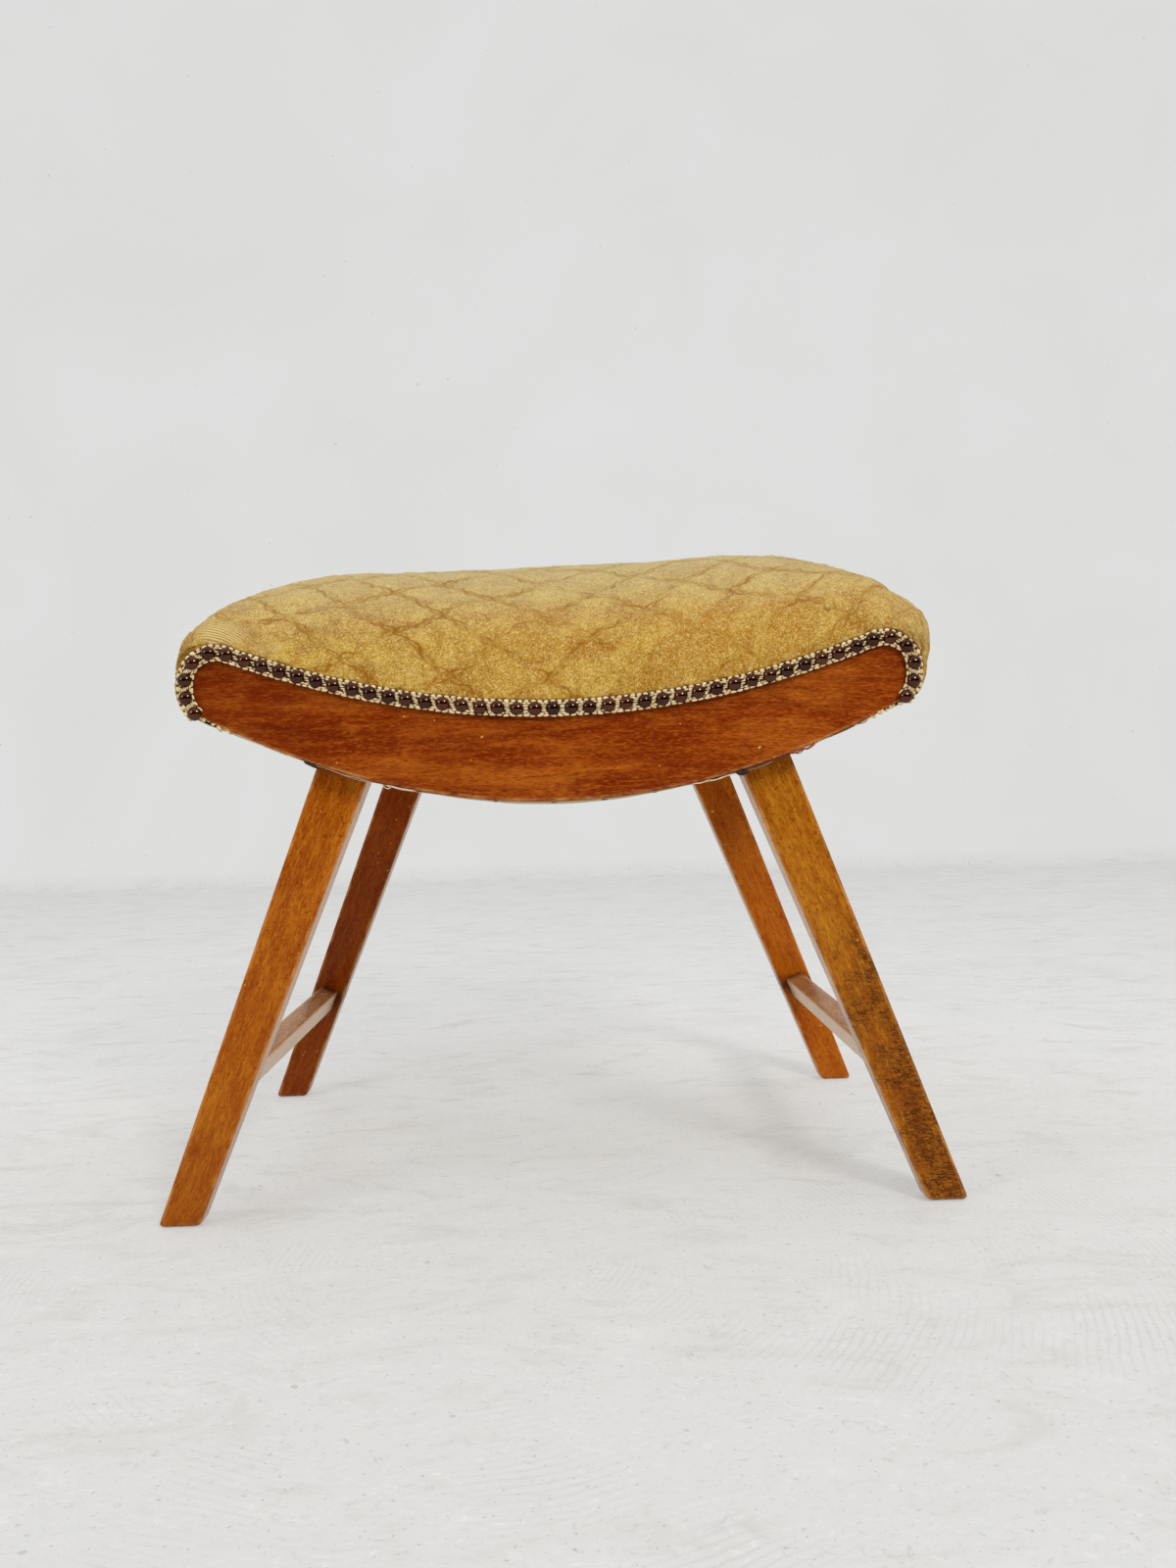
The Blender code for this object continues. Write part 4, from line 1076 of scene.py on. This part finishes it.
def velvet_seat():
    """The whole seat as one closed padded piece."""
    plan_x, plan_y, dome = seat_dome()
    move = swell(dome)
    move[..., 1] *= ramp(dome[..., 2] - rim_point(dome[..., 0], SEAT_BULGE_END), 0, 0.06)
    dome = dome + move
    border = tuple(widest_border().T)
    x, y = plan_x[border], plan_y[border]
    run, rise = length_along(dome, 0), length_along(dome, 1)
    flat = np.stack([run - run[ALONG_CELLS // 2], rise], axis=-1)
    previous, here = dome[border], flat[border]
    points = [dome.reshape(-1, 3)]
    cloth = [flat.reshape(-1, 2)]
    shown = [np.ones(len(cloth[0]))]
    ends = np.abs(x) > SEAT_WIDEST_X - 1e-7
    outwards = np.column_stack([np.where(ends, np.sign(x), 0), np.where(ends, 0, np.sign(y))])
    for number, ring in enumerate(SKIRT_RINGS):
        places = skirt_ring(x, y, *ring)
        here = here + outwards * np.linalg.norm(places - previous, axis=1)[:, None]
        points.append(places)
        cloth.append(here)
        shown.append(np.full(len(places), max(0.0, 1 - number / 4)))
        previous = places
    for scale in UNDERSIDE_SCALES:
        inner_x, inner_y = previous[:, 0] * scale, previous[:, 1] * scale
        points.append(np.column_stack([inner_x, inner_y, lining_height(inner_x, inner_y)]))
        cloth.append(here)
        shown.append(np.zeros(len(here)))
    points, cloth, shown = [np.concatenate(parts) for parts in (points, cloth, shown)]
    cloth = cloth + np.column_stack([
        0.0024 * soft_hills(cloth, 0.10, 51), 0.0017 * soft_hills(cloth, 0.08, 52)])

    number = np.arange(run.size).reshape(run.shape)
    below = np.arange(run.size, len(points)).reshape(-1, len(x))
    rows = [number[border], *below]
    faces = [grid_faces(number).reshape(-1, 4)]
    for upper, lower in zip(rows, rows[1:]):
        faces.append(np.stack([upper, lower, np.roll(lower, -1), np.roll(upper, -1)], axis=-1))
    mesh = bpy.data.meshes.new("velvet_seat")
    mesh.from_pydata(
        points.tolist(), [], np.concatenate(faces).tolist() + [rows[-1][::-1].tolist()])
    mesh.update()
    mesh.shade_smooth()

    wear = worn_places(points)
    press = pressed_trellis(cloth) * np.clip(0.8 + 0.3 * soft_hills(cloth, 0.05, 5), 0.3, 1.0)
    press = press * (1 - 0.75 * wear) * shown
    fine = 0.00022 * soft_hills(cloth, 0.012, 21)
    push = (corner_pleats(points) + fine) * shown - 0.0006 * press
    push += seat_lumps(points) * ramp(points[:, 2] - rim_point(points[:, 0], 0.009), 0, 0.028)
    moved = points + vectors_of(mesh, "normal") * push[:, None]
    moved[:, 0] += pushed_ends(moved) * (shown > 0)
    lead_behind_braid(moved)
    mesh.vertices.foreach_set("co", moved.astype(np.float32).ravel())
    mesh.update()
    # The share of the top that the velvet paints paler: painted sheen, with some wear.
    paint(
        mesh, press=press, wear=wear, crown=ramp(points[:, 2], 0.405, 0.480) ** 1.2,
        fresh=fresh_places(points), crease=creased_places(points),
        cloth=np.column_stack([cloth, np.zeros(len(cloth))]))
    piece = add_piece("velvet_seat", mesh)
    fit_piece(piece, "velvet", "velvet_cover", "stuffing", finish=velvet)


# Braid, nails and tacks: one tree repeats a small shape along a line

def repeat_tree():
    """A tree that sets a shape at even places along a line, each a little different."""
    tree = bpy.data.node_groups.new("repeat_along", "GeometryNodeTree")
    sockets = (
        ("Geometry", "Geometry"), ("Shape", "Object"), ("Count", "Int"), ("Size", "Vector"),
        ("Size Change", "Float"), ("Turn Change", "Float"), ("Place Change", "Float"),
        ("Seed", "Int"), ("Finish", "Material"))
    for name, kind in sockets:
        tree.interface.new_socket(name, in_out="INPUT", socket_type="NodeSocket" + kind)
    tree.interface.new_socket("Geometry", in_out="OUTPUT", socket_type="NodeSocketGeometry")
    given = add_node(tree, "NodeGroupInput").outputs

    def chance(kind, low, high, extra):
        """A random value for each place, from its own seed."""
        first = {"FLOAT_VECTOR": 0, "FLOAT": 2}[kind]
        made = add_node(tree, "FunctionNodeRandomValue", {
            first: low, first + 1: high, "Seed": reckon(tree, "ADD", given["Seed"], extra)},
            data_type=kind)
        return made.outputs[first // 2]

    def step(kind, inputs, **settings):
        """Add a node and give its first output."""
        return add_node(tree, kind, inputs, **settings).outputs[0]

    both_ways = ((-1, -1, -1), (1, 1, 1))
    shift = chance("FLOAT_VECTOR", *both_ways, 11)
    turn = chance("FLOAT_VECTOR", *both_ways, 23)
    least = reckon(tree, "SUBTRACT", 1.0, given["Size Change"])
    most = reckon(tree, "ADD", 1.0, given["Size Change"])
    line = step("GeometryNodeMeshToCurve", {"Mesh": given["Geometry"]})
    places = add_node(
        tree, "GeometryNodeCurveToPoints", {"Curve": line, "Count": given["Count"]}, mode="COUNT")
    moved = step("GeometryNodeSetPosition", {
        "Geometry": places.outputs["Points"],
        "Offset": vector_step(tree, "SCALE", shift, given["Place Change"])})
    aligned = step(
        "FunctionNodeAlignRotationToVector", {"Vector": places.outputs["Tangent"]},
        axis="X", pivot_axis="Y")
    turned = step("FunctionNodeRotateRotation", {
        0: aligned, 1: vector_step(tree, "SCALE", turn, given["Turn Change"])},
        rotation_space="LOCAL")
    shape = add_node(tree, "GeometryNodeObjectInfo", {"Object": given["Shape"]})
    copies = step("GeometryNodeInstanceOnPoints", {
        "Points": moved, "Instance": shape.outputs["Geometry"], "Rotation": turned,
        "Scale": vector_step(tree, "SCALE", given["Size"], chance("FLOAT", least, most, 37))})
    toned = step(
        "GeometryNodeStoreNamedAttribute",
        {"Geometry": copies, "Name": "tone", "Value": chance("FLOAT", 0.0, 1.0, 41)},
        data_type="FLOAT", domain="INSTANCE")
    whole = step("GeometryNodeRealizeInstances", {"Geometry": toned})
    finished = step("GeometryNodeSetMaterial", {"Geometry": whole, "Material": given["Finish"]})
    add_node(tree, "NodeGroupOutput", {"Geometry": finished})
    return tree


def repeated(name, line, shape, count, size, changes, seed, finish):
    """A mesh of one shape repeated along a line of (x, y, z) points.

    changes says how much the copies differ in size, in turn and in place.
    """
    given = {
        "Shape": shape, "Count": count, "Size": size, "Size Change": changes[0],
        "Turn Change": changes[1], "Place Change": changes[2], "Seed": seed, "Finish": finish}
    edges = [(place, place + 1) for place in range(len(line) - 1)]
    mesh = bpy.data.meshes.new(name)
    mesh.from_pydata([tuple(point) for point in line], edges, [])
    piece = add_piece(name, mesh)
    nodes = piece.modifiers.new("repeat", "NODES")
    nodes.node_group = repeat_along
    for socket in repeat_along.interface.items_tree:
        if socket.in_out == "INPUT" and socket.name in given:
            nodes[socket.identifier] = given[socket.name]
    settle(piece)
    piece.data.shade_smooth()
    return piece


def joined(name, pieces):
    """Several pieces made into one mesh, with their materials kept."""
    with bpy.context.temp_override(
            active_object=pieces[0], selected_editable_objects=pieces, selected_objects=pieces):
        bpy.ops.object.join()
    pieces[0].name = name
    pieces[0].data.name = name
    return pieces[0]


def turned_shape(name, profile, steps, axis):
    """A small shape turned about an axis from (radius, height) pairs, from its tip down."""
    points = [axis * profile[0][1]]
    side = Vector((axis.y, axis.z, axis.x))
    other = axis.cross(side)
    for radius, height in profile[1:]:
        for step in range(steps):
            angle = 2 * math.pi * step / steps
            way = side * math.cos(angle) + other * math.sin(angle)
            points.append(axis * height + way * radius)
    faces = []
    for step in range(steps):
        after = (step + 1) % steps
        faces.append((0, 1 + step, 1 + after))
        for row in range(len(profile) - 2):
            low = 1 + row * steps
            faces.append((low + step, low + steps + step, low + steps + after, low + after))
    faces.append(tuple(range(len(points) - steps, len(points)))[::-1])
    return add_piece(name, solid_of(name, points, faces))


def bead_shape():
    """A round stitch of a few dozen faces, one metre across, to be scaled."""
    shape = bmesh.new()
    bmesh.ops.create_uvsphere(shape, u_segments=8, v_segments=5, radius=0.5)
    mesh = mesh_from(shape, "bead")
    mesh.shade_smooth()
    return add_piece("bead", mesh)


NAILS_IN_A_ROW = 47
NAIL_PROFILE = (
    (0, 0.0031), (0.0012, 0.003), (0.0024, 0.00262), (0.0035, 0.00192),
    (0.0043, 0.00105), (0.00475, 0.0002), (0.00455, -0.0004), (0.0009, -0.0005))
TACK_PROFILE = (
    (0, 0.0004), (0.0016, 0.00034), (0.0026, 0.0001), (0.0024, -0.0003), (0.0005, -0.0005))
BRAID_HALF_WIDTH = 0.0053
BRAID_ROWS = (
    # offset, pitch, size of a stitch, turn change
    (0.0048, 0.0045, (0.0035, 0.0018, 0.0024), 0.2),
    (0.0033, 0.0030, (0.0031, 0.0014, 0.0014), 0.1),
    (-0.0034, 0.0030, (0.0031, 0.0014, 0.0014), 0.1),
    (-0.0049, 0.0046, (0.0043, 0.0016, 0.0017), 0.2),
)
RUNG_OFFSETS = (0.0019, 0.0006, -0.0007, -0.0020)


def nail_line(offset, depth):
    """A line of points along the nail line at an offset, at a depth from the centre plane."""
    x, z = both_halves(rim_half(offset, NAIL_TUCK_ANGLE)).T
    return np.column_stack([x, np.full(len(x), depth), z])


def braid_backing(face):
    """The woven strip that the stitches stand on, as a closed band, dark brown all over as painted
    shade between the stitches.
    """
    back, front = [
        [nail_line(offset, face * depth) for offset in (BRAID_HALF_WIDTH, -BRAID_HALF_WIDTH)]
        for depth in (GIMP_BACK, GIMP_BACK + 0.0009)]
    sections = list(zip(back[0], front[0], front[1], back[1]))
    mesh = solid_of("braid_backing", *loft(sections))
    # Tone 1 all over: the darkest brown, painted shade in the gaps.
    paint(mesh, tone=np.ones(len(mesh.vertices)))
    mesh.materials.append(braid_ground)
    return add_piece("braid_backing_" + FACES[face], mesh)


def braid(face):
    """Cream braid: edge loops, two rows of stitches and short rungs between the nails."""
    depth = face * (GIMP_BACK + 0.0011)
    rows = [braid_backing(face)]
    for number, (offset, pitch, size, turn) in enumerate(BRAID_ROWS):
        line = nail_line(offset, depth)
        rows.append(repeated(
            "braid_row", line, bead, int(line_length(line) / pitch), size,
            (0.14, turn, 0.00022), 10 * number + face, yarn))
    half_gaps = 2 * (NAILS_IN_A_ROW - 1)
    rung = 0.72 * line_length(nail_line(0, depth)) / half_gaps
    for number, offset in enumerate(RUNG_OFFSETS):
        line = nail_line(offset, depth)
        length = running_length(line)
        start = length[-1] / half_gaps
        end = length[-1] - start
        inside = length[(length > start) & (length < end)]
        rows.append(repeated(
            "braid_rungs", along_line(line, [start, *inside, end]), bead, NAILS_IN_A_ROW - 1,
            (rung, 0.0016, 0.0011), (0.12, 0.14, 0.0002), 100 + 7 * number + face, yarn))
    for side in SIDES:
        x = side * np.linspace(0.2465, 0.222, 30)
        line = np.column_stack([x, np.full(len(x), face * 0.1905), under_height(x) - 0.0011])
        rows.append(repeated(
            "braid_tail", line, bead, 15, (0.0036, 0.0032, 0.0018), (0.35, 0.9, 0.0014),
            140 + 3 * side + face, yarn))
    fit_piece(joined("braid_" + FACES[face], rows), "gimp", FACES[face] + "_gimp")


def nails(face):
    """A close row of domed bronze nails, each sitting a little differently."""
    head = turned_shape("nail_head", NAIL_PROFILE, 16, Vector((0, face, 0)))
    piece = repeated(
        "bronze_nails_" + FACES[face], nail_line(0, face * (GIMP_BACK + 0.0013)), head,
        NAILS_IN_A_ROW, (1.04, 1, 1.04), (0.02, 0.07, 0.00035), 5 + face, bronze)
    bpy.data.objects.remove(head)
    fit_piece(piece, "nail_brass")


# Frayed threads along a show rail's bottom edge: tone, thickness in millimetres, then
# places as (x in millimetres, millimetres below the edge)
THREADS = (
    (0.1, 0.9, ((-221, 0.4), (-205, 0.2), (-190, 0.5), (-175, 0.2))),
    # Black bits beside a leg's top.
    (1.0, 2.6, ((-172, 0.3), (-168, 0.9), (-163, 1.6))),
    (1.0, 1.3, ((-166, 1.4), (-163, 2.0), (-161, 1.4))),
    (0.25, 0.7, ((-153, 0.4), (-146, 1.1), (-137, 0.5), (-124, 0.9))),
    (0.0, 0.6, ((-120, 0.2), (-118, 2.2), (-115, 2.8), (-113.5, 1.6), (-116, 0.8), (-112, 0.4))),
    (0.0, 1.1, ((-114, 0.5), (-106, 0.9), (-96, 0.4))),
    (0.9, 0.9, ((-42.5, 0.2), (-41.5, 1.0), (-40, 0.5))),
    (0.05, 1.0, ((95, 0.3), (101, 1.1), (106, 0.7), (111, 1.6), (118, 1.0), (126, 1.2))),
    # Black bits beside a leg's top.
    (1.0, 3.2, ((125.5, 0.8), (129, 1.8), (134, 2.2))),
    (1.0, 1.4, ((127, 2.6), (131, 3.6), (134, 2.4))),
    (0.85, 1.4, ((132, 0.8), (143, 0.6), (155, 0.8), (166, 0.5))),
    (0.5, 1.5, ((163, 0.4), (168, 1.4), (172, 1.0), (176, 1.8), (181, 0.5))),
    (0.5, 0.8, ((166, 1.2), (170, 2.8), (173, 1.6))),
    (0.2, 0.7, ((172, 1.0), (177, 2.6), (183, 0.6), (192, 0.4))),
    (0.7, 0.7, ((190, 0.3), (205, 0.5), (218, 0.2))),
    (0.1, 0.9, ((208, 0.4), (213, 1.5), (218, 0.9), (224, 1.4))),
    (0.55, 0.9, ((211, 0.6), (215, 1.9), (219, 1.0))),
)


def frayed_threads(face):
    """Loose threads of the bottom cloth along one show rail, and black bits beside the leg tops."""
    points = []
    faces = []
    tones = []
    sideways = np.array([0.0, 1.0, 0.0])
    for tone, thickness, marks in THREADS:
        x, drop = spread_moves(np.array(marks) / 1000, 0).T
        x = x * -face
        centre = np.column_stack([x, np.full(len(x), face * 0.1915), under_height(x) - drop])
        along = np.gradient(centre, axis=0)
        along /= np.linalg.norm(along, axis=1, keepdims=True)
        sections = []
        for step, (place, way) in enumerate(zip(centre, along)):
            up = np.cross(way, sideways)
            radius = thickness / 2000 * min(1.0, 0.4 + 0.4 * min(step, len(centre) - 1 - step))
            sections.append([
                place + radius * (sideways * math.cos(turn) + up * math.sin(turn))
                for turn in np.linspace(0, 2 * math.pi, 6, endpoint=False)])
        tube_points, tube_faces = loft(sections)
        faces += [tuple(place + len(points) for place in corners) for corners in tube_faces]
        points += tube_points
        tones += [tone] * len(tube_points)
    mesh = solid_of("frayed_threads_" + FACES[face], points, faces)
    paint(mesh, tone=tones)
    fit_piece(add_piece(mesh.name, mesh), "dust_cloth", finish=loose_thread)


# Underside: the dust cloth with its tacks, and the leg screws

CLOTH_REACH = 0.246
CLOTH_HALF_DEPTH = 0.1885
HOLE_X = (0.1300, 0.1685)
HOLE_Y = (0.1480, 0.1748)
CLOTH_DROOPS = (
    # place, width and depth of each droop of the cloth's long edges
    (-0.224, 0.020, 0.0011), (-0.138, 0.012, 0.0016), (-0.106, 0.012, 0.0013),
    (0.112, 0.012, 0.0016), (0.142, 0.014, 0.0018), (0.205, 0.016, 0.0010))


def stations_through(marks, step):
    """Even places that also fall on every given mark."""
    places = [marks[0]]
    for start, end in zip(marks, marks[1:]):
        count = max(1, round((end - start) / step))
        places += [start + (end - start) * number / count for number in range(1, count + 1)]
    return np.array(places)


def cloth_height(x, y):
    """Height of the dust cloth: tight under the rails, sagging between them."""
    lap = 0.0021 * ramp(np.abs(x), 0.226, 0.238)
    free = np.clip(1 - (y / 0.170) ** 2, 0, 1) * np.clip(1 - (x / 0.236) ** 2, 0, 1)
    ripple = 0.0004 * np.sin(x * 70 + 1) * np.sin(y * 45) * free
    droop = np.zeros_like(x)
    for place, width, depth in CLOTH_DROOPS:
        droop = np.maximum(droop, depth * hump(x, place, width))
    edge = ramp(np.abs(y), 0.179, CLOTH_HALF_DEPTH) ** 2
    droop = droop * edge * np.where(y < 0, 1.0, 0.6)
    return under_height(x) - 0.0001 - lap - 0.0042 * free - ripple - droop


def dust_sheet():
    """The thin bottom cloth, cut out round the four legs."""
    half_x = stations_through([0, *HOLE_X, CLOTH_REACH], 0.005)
    half_y = stations_through([0, *HOLE_Y, CLOTH_HALF_DEPTH], 0.006)
    xs, ys = [np.concatenate([-half[:0:-1], half]) for half in (half_x, half_y)]
    x, y = np.meshgrid(xs, ys, indexing="ij")
    points = np.stack([x, y, cloth_height(x, y)], axis=-1).reshape(-1, 3)
    middle_x, middle_y = [np.abs((values[:-1] + values[1:]) / 2) for values in (xs, ys)]
    over_x = (middle_x > HOLE_X[0]) & (middle_x < HOLE_X[1])
    over_y = (middle_y > HOLE_Y[0]) & (middle_y < HOLE_Y[1])
    faces = grid_faces(np.arange(x.size).reshape(x.shape))[~(over_x[:, None] & over_y)]
    used, faces = np.unique(faces, return_inverse=True)
    mesh = mesh_of("dust_sheet", points[used], faces.reshape(-1, 4).tolist())
    piece = add_piece("dust_sheet", mesh)
    thick = piece.modifiers.new("thickness", "SOLIDIFY")
    thick.thickness = 0.0005
    thick.offset = -1
    settle(piece)
    fit_piece(piece, "dust_cloth", "dust_cloth", finish=cotton)
    length = 2 * line_length(np.column_stack([half_x, under_height(half_x)]))


def cloth_tacks():
    """Small cut tacks that hold the dust cloth under the show rails."""
    head = turned_shape("tack_head", TACK_PROFILE, 10, Vector((0, 0, -1)))
    rows = []
    for face in FACES:
        x = np.linspace(-0.232, 0.232, 120)
        y = np.full(len(x), face * 0.1790)
        line = np.column_stack([x, y, cloth_height(x, y) - 0.0005])
        rows.append(repeated(
            "cloth_tacks", line, head, 15, (1, 1, 1), (0.06, 0.1, 0.0009), 60 + face, steel))
    bpy.data.objects.remove(head)
    fit_piece(joined("cloth_tacks", rows), "screw_steel")


def add_screw_head(shape, place, outwards, turn):
    """A countersunk head with a sunk slot, its face a hair proud of the wood."""
    radius, bevel, proud, slot_depth, half_slot, steps = 0.0042, 0.0003, 0.00035, 0.0009, 0.00055, 24

    def point(across, up, level):
        """A point of the head, turned about its axis and set on the wood."""
        x = across * math.cos(turn) - up * math.sin(turn)
        z = across * math.sin(turn) + up * math.cos(turn)
        return shape.verts.new((place.x + x, place.y + outwards * level, place.z + z))

    angles = [2 * math.pi * step / steps for step in range(steps)]
    rings = [
        [point(reach * math.cos(angle), reach * math.sin(angle), level) for angle in angles]
        for level, reach in ((proud, radius - bevel), (proud - bevel, radius), (-0.002, radius * 0.6))]
    for row, after in zip(rings, rings[1:]):
        for corners in closed_loop_faces(row, after):
            shape.faces.new(corners)
    shape.faces.new(rings[-1])
    half = math.asin(half_slot / (radius - bevel))
    right, left = [
        [corner for corner, angle in zip(rings[0], angles)
         if start + half < angle < start + math.pi - half] for start in (0, math.pi)]
    reach = (radius - bevel) * math.cos(half) * 0.97
    low = proud - slot_depth
    slot = {}
    for across in (-1, 1):
        for along in (-1, 1):
            for level in (proud, low):
                slot[across, along, level] = point(along * reach, across * half_slot, level)
    for across, rim in ((1, right), (-1, left)):
        shape.faces.new(rim + [slot[across, -across, proud], slot[across, across, proud]])
        shape.faces.new([slot[across, 1, proud], slot[across, -1, proud],
                         slot[across, -1, low], slot[across, 1, low]])
    shape.faces.new([slot[1, 1, low], slot[1, -1, low], slot[-1, -1, low], slot[-1, 1, low]])
    for along, first, tip, last in (
            (1, left[-1], rings[0][0], right[0]), (-1, right[-1], rings[0][steps // 2], left[0])):
        shape.faces.new([slot[along, along, proud], slot[along, along, low],
                         slot[-along, along, low], slot[-along, along, proud], first, tip, last])


def leg_screws():
    """Two slotted screws through each leg, their heads flush in the inward face."""
    shape = bmesh.new()
    for side, face in CORNERS:
        for share in (0.912, 0.967):
            z = LEG_TOP * share
            place = Vector((side * leg_middle(z), face * leg_back(z), z))
            add_screw_head(shape, place, -face, 0.6 * side + 0.9 * face + 4 * share)
    bmesh.ops.recalc_face_normals(shape, faces=shape.faces)
    piece = add_piece("slotted_leg_screws", mesh_from(shape, "slotted_leg_screws"))
    nodes = ["leg_screw_" + FACES[face] + "_" + SIDES[side] + "_" + number
             for side, face in CORNERS for number in "12"]
    fit_piece(piece, "screw_steel", *nodes, finish=steel)


# Room, light and camera

def room():
    """A pale floor that turns up into a pale wall behind the stool."""
    wall_y, cove, reach = 2.65, 0.05, 5.0
    profile = [(-reach, 0.0), (-0.8, 0.0), (0.8, 0.0)]
    profile += list(arc(wall_y - cove, cove, cove, -math.pi / 2, 0, 8))
    profile.append((wall_y, 3.6))
    count = len(profile)
    points = [(x, y, z) for x in (-reach, reach) for y, z in profile]
    faces = [(place, count + place, count + place + 1, place + 1) for place in range(count - 1)]
    mesh = mesh_of("plaster_room", points, faces)
    mesh.materials.append(plaster())
    add_piece("plaster_room", mesh)


def add_softbox(name, place, size, power, colour):
    """A square soft light aimed at the stool."""
    lamp = bpy.data.lights.new(name, "AREA")
    lamp.size = size
    lamp.energy = power
    lamp.color = colour
    holder = add_piece(name, lamp)
    holder.location = place
    aim = Vector((0, 0, 0.3)) - Vector(place)
    holder.rotation_euler = aim.to_track_quat("-Z", "Y").to_euler()


def light_room():
    """Bright from above and behind, dimmer from the camera's side, one broad key."""
    world = bpy.data.worlds.new("soft_room")
    SCENE.world = world
    world.use_nodes = True
    tree = world.node_tree
    sky = tree.nodes["Background"]
    way = add_node(tree, "ShaderNodeTexCoord").outputs["Generated"]
    dim, seen = 0.14, 0.72
    behind = part_of(tree, way, "Y").spread(-0.5, 0.5, dim, 0.95)
    above = part_of(tree, way, "Z").spread(0.25, 0.85, dim, 1.05)
    rays = add_node(tree, "ShaderNodeLightPath").outputs
    mirrored = Number(tree, rays["Is Glossy Ray"]) * 0.1
    strength = behind.step("MAXIMUM", above) - mirrored
    pale = Number(tree, rays["Is Camera Ray"]).spread(0.0, 1.0, strength, seen)
    tree.links.new(pale.socket, sky.inputs["Strength"])
    sky.inputs["Color"].default_value = (1.0, 0.995, 0.985, 1.0)
    add_softbox("key_softbox", (1.1, -2.3, 1.9), 0.62, 34, (1.0, 0.99, 0.975))
    add_softbox("fill_softbox", (-2.4, -1.9, 1.4), 1.2, 19, (0.97, 0.985, 1.0))


def add_camera():
    """The camera of the photograph: a little above the floor, almost level."""
    yaw, pitch, roll, lens = 0.0228, -0.0019, 0.0265, 25.875
    level = math.cos(pitch)
    forward = Vector((math.sin(yaw) * level, math.cos(yaw) * level, math.sin(pitch)))
    right = Vector((math.cos(yaw), -math.sin(yaw), 0))
    up = right.cross(forward)
    image_right = right * math.cos(roll) - up * math.sin(roll)
    image_up = right * math.sin(roll) + up * math.cos(roll)
    turn = Matrix((image_right, image_up, -forward)).transposed().to_4x4()
    camera = bpy.data.cameras.new("studio_camera")
    camera.sensor_width = 36
    camera.lens = lens
    camera.clip_start = 0.01
    holder = add_piece("studio_camera", camera)
    holder.matrix_world = Matrix.Translation((0.0049, -0.970, 0.3058)) @ turn
    SCENE.camera = holder


# The finishes, then the pieces in the order they are built up

# Places along the legs that are painted darker, as painted shade: where the legs go under the rail, and
# at the stretcher joints.
JOINT_SHADE = STRETCHER_HEIGHT / math.cos(LEG_TILT)
UNDER_RAIL_SHADE = 0.325 / math.cos(LEG_TILT)
RAIL_TONES = ((110, 32, 2), (148, 62, 8), (186, 100, 26))
# The stretchers' tones are lighter than the legs', partly as painted reflection of the pale floor and
# wall.
BAR_TONES = ((142, 88, 46), (180, 130, 84), (206, 162, 118))
LEG_TONES = {
    (-1, -1): ((146, 66, 4), (176, 94, 10), (200, 124, 26)),
    (1, -1): ((142, 70, 4), (174, 102, 12), (200, 132, 30)),
    # The back left leg's tones are darker, partly as painted shade.
    (-1, 1): ((112, 38, 2), (136, 58, 6), (158, 82, 16)),
    (1, 1): ((150, 64, 4), (184, 94, 10), (206, 120, 24))}

rail_wood = {
    face: varnished_wood("rail_beech_" + FACES[face], RAIL_TONES, 3 + face, fleck=0.35, flamed=0.6)
    for face in FACES}
leg_wood = {}
# Each leg gets bands painted darker: painted shade under the rail and at the back legs' stretcher
# joints; the front left leg is also darker towards the foot.
for side, face in CORNERS:
    leg_wood[side, face] = varnished_wood(
        "leg_beech_" + FACES[face] + "_" + SIDES[side], LEG_TONES[side, face],
        5 + side + 3 * face, stain=0.6 if (side, face) == (1, -1) else 0.0,
        dark_bands=((UNDER_RAIL_SHADE, 0.016, 0.6), (JOINT_SHADE, 0.013, 0.75 if face == 1 else 0.0),
               (0.02, 0.13, 0.2 if (side, face) == (-1, -1) else 0.0)))
# The stretchers get painted shade at both ends, where they meet the legs.
bar_wood = {
    side: varnished_wood(
        "stretcher_beech_" + SIDES[side], BAR_TONES, 12 + side, bare=0.8,
        dark_bands=((-0.157, 0.014, 0.75), (0.157, 0.014, 0.75)))
    for side in SIDES}
pine = plain_pine()
steel = worn_steel("worn_steel", (150, 146, 140), (84, 52, 34))
spring_wire = worn_steel("spring_wire", (120, 112, 104), (70, 44, 32))
jute = woven_cloth("jute_webbing", (176, 142, 92), (150, 114, 68), (96, 66, 36), 900, 0.0004)
sacking = woven_cloth("hessian", (186, 156, 106), (170, 138, 88), (110, 80, 44), 620, 0.0005)
cotton = woven_cloth(
    "bottom_cotton", (226, 206, 170), (214, 190, 150), (170, 140, 100), 1500, 0.0002)
velvet = crushed_velvet()
yarn = braid_yarn("cream_yarn", (252, 232, 186), (206, 164, 104))
# Dark brown backing for the braid: painted shade between its stitches.
braid_ground = braid_yarn("braid_ground", (88, 50, 24), (52, 27, 12))
bronze = aged_bronze()
loose_thread = thread_finish()

repeat_along = repeat_tree()
bead = bead_shape()

velvet_seat()
for face in FACES:
    show_rail(face)
    braid(face)
    nails(face)
    frayed_threads(face)
for side, face in CORNERS:
    leg(side, face)
for side in SIDES:
    stretcher(side)
dust_sheet()
cloth_tacks()
leg_screws()
bpy.data.objects.remove(bead)

FRAME_FINISHES = (
    ("end_rail", pine), ("corner_block", pine), ("webbing", jute),
    ("coil_spring", spring_wire), ("hessian", sacking))
for name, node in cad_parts.items():
    for words, finish in FRAME_FINISHES:
        if words in name:
            node.data.materials.clear()
            node.data.materials.append(finish)

room()
light_room()
add_camera()
SCENE.view_settings.view_transform = "Standard"
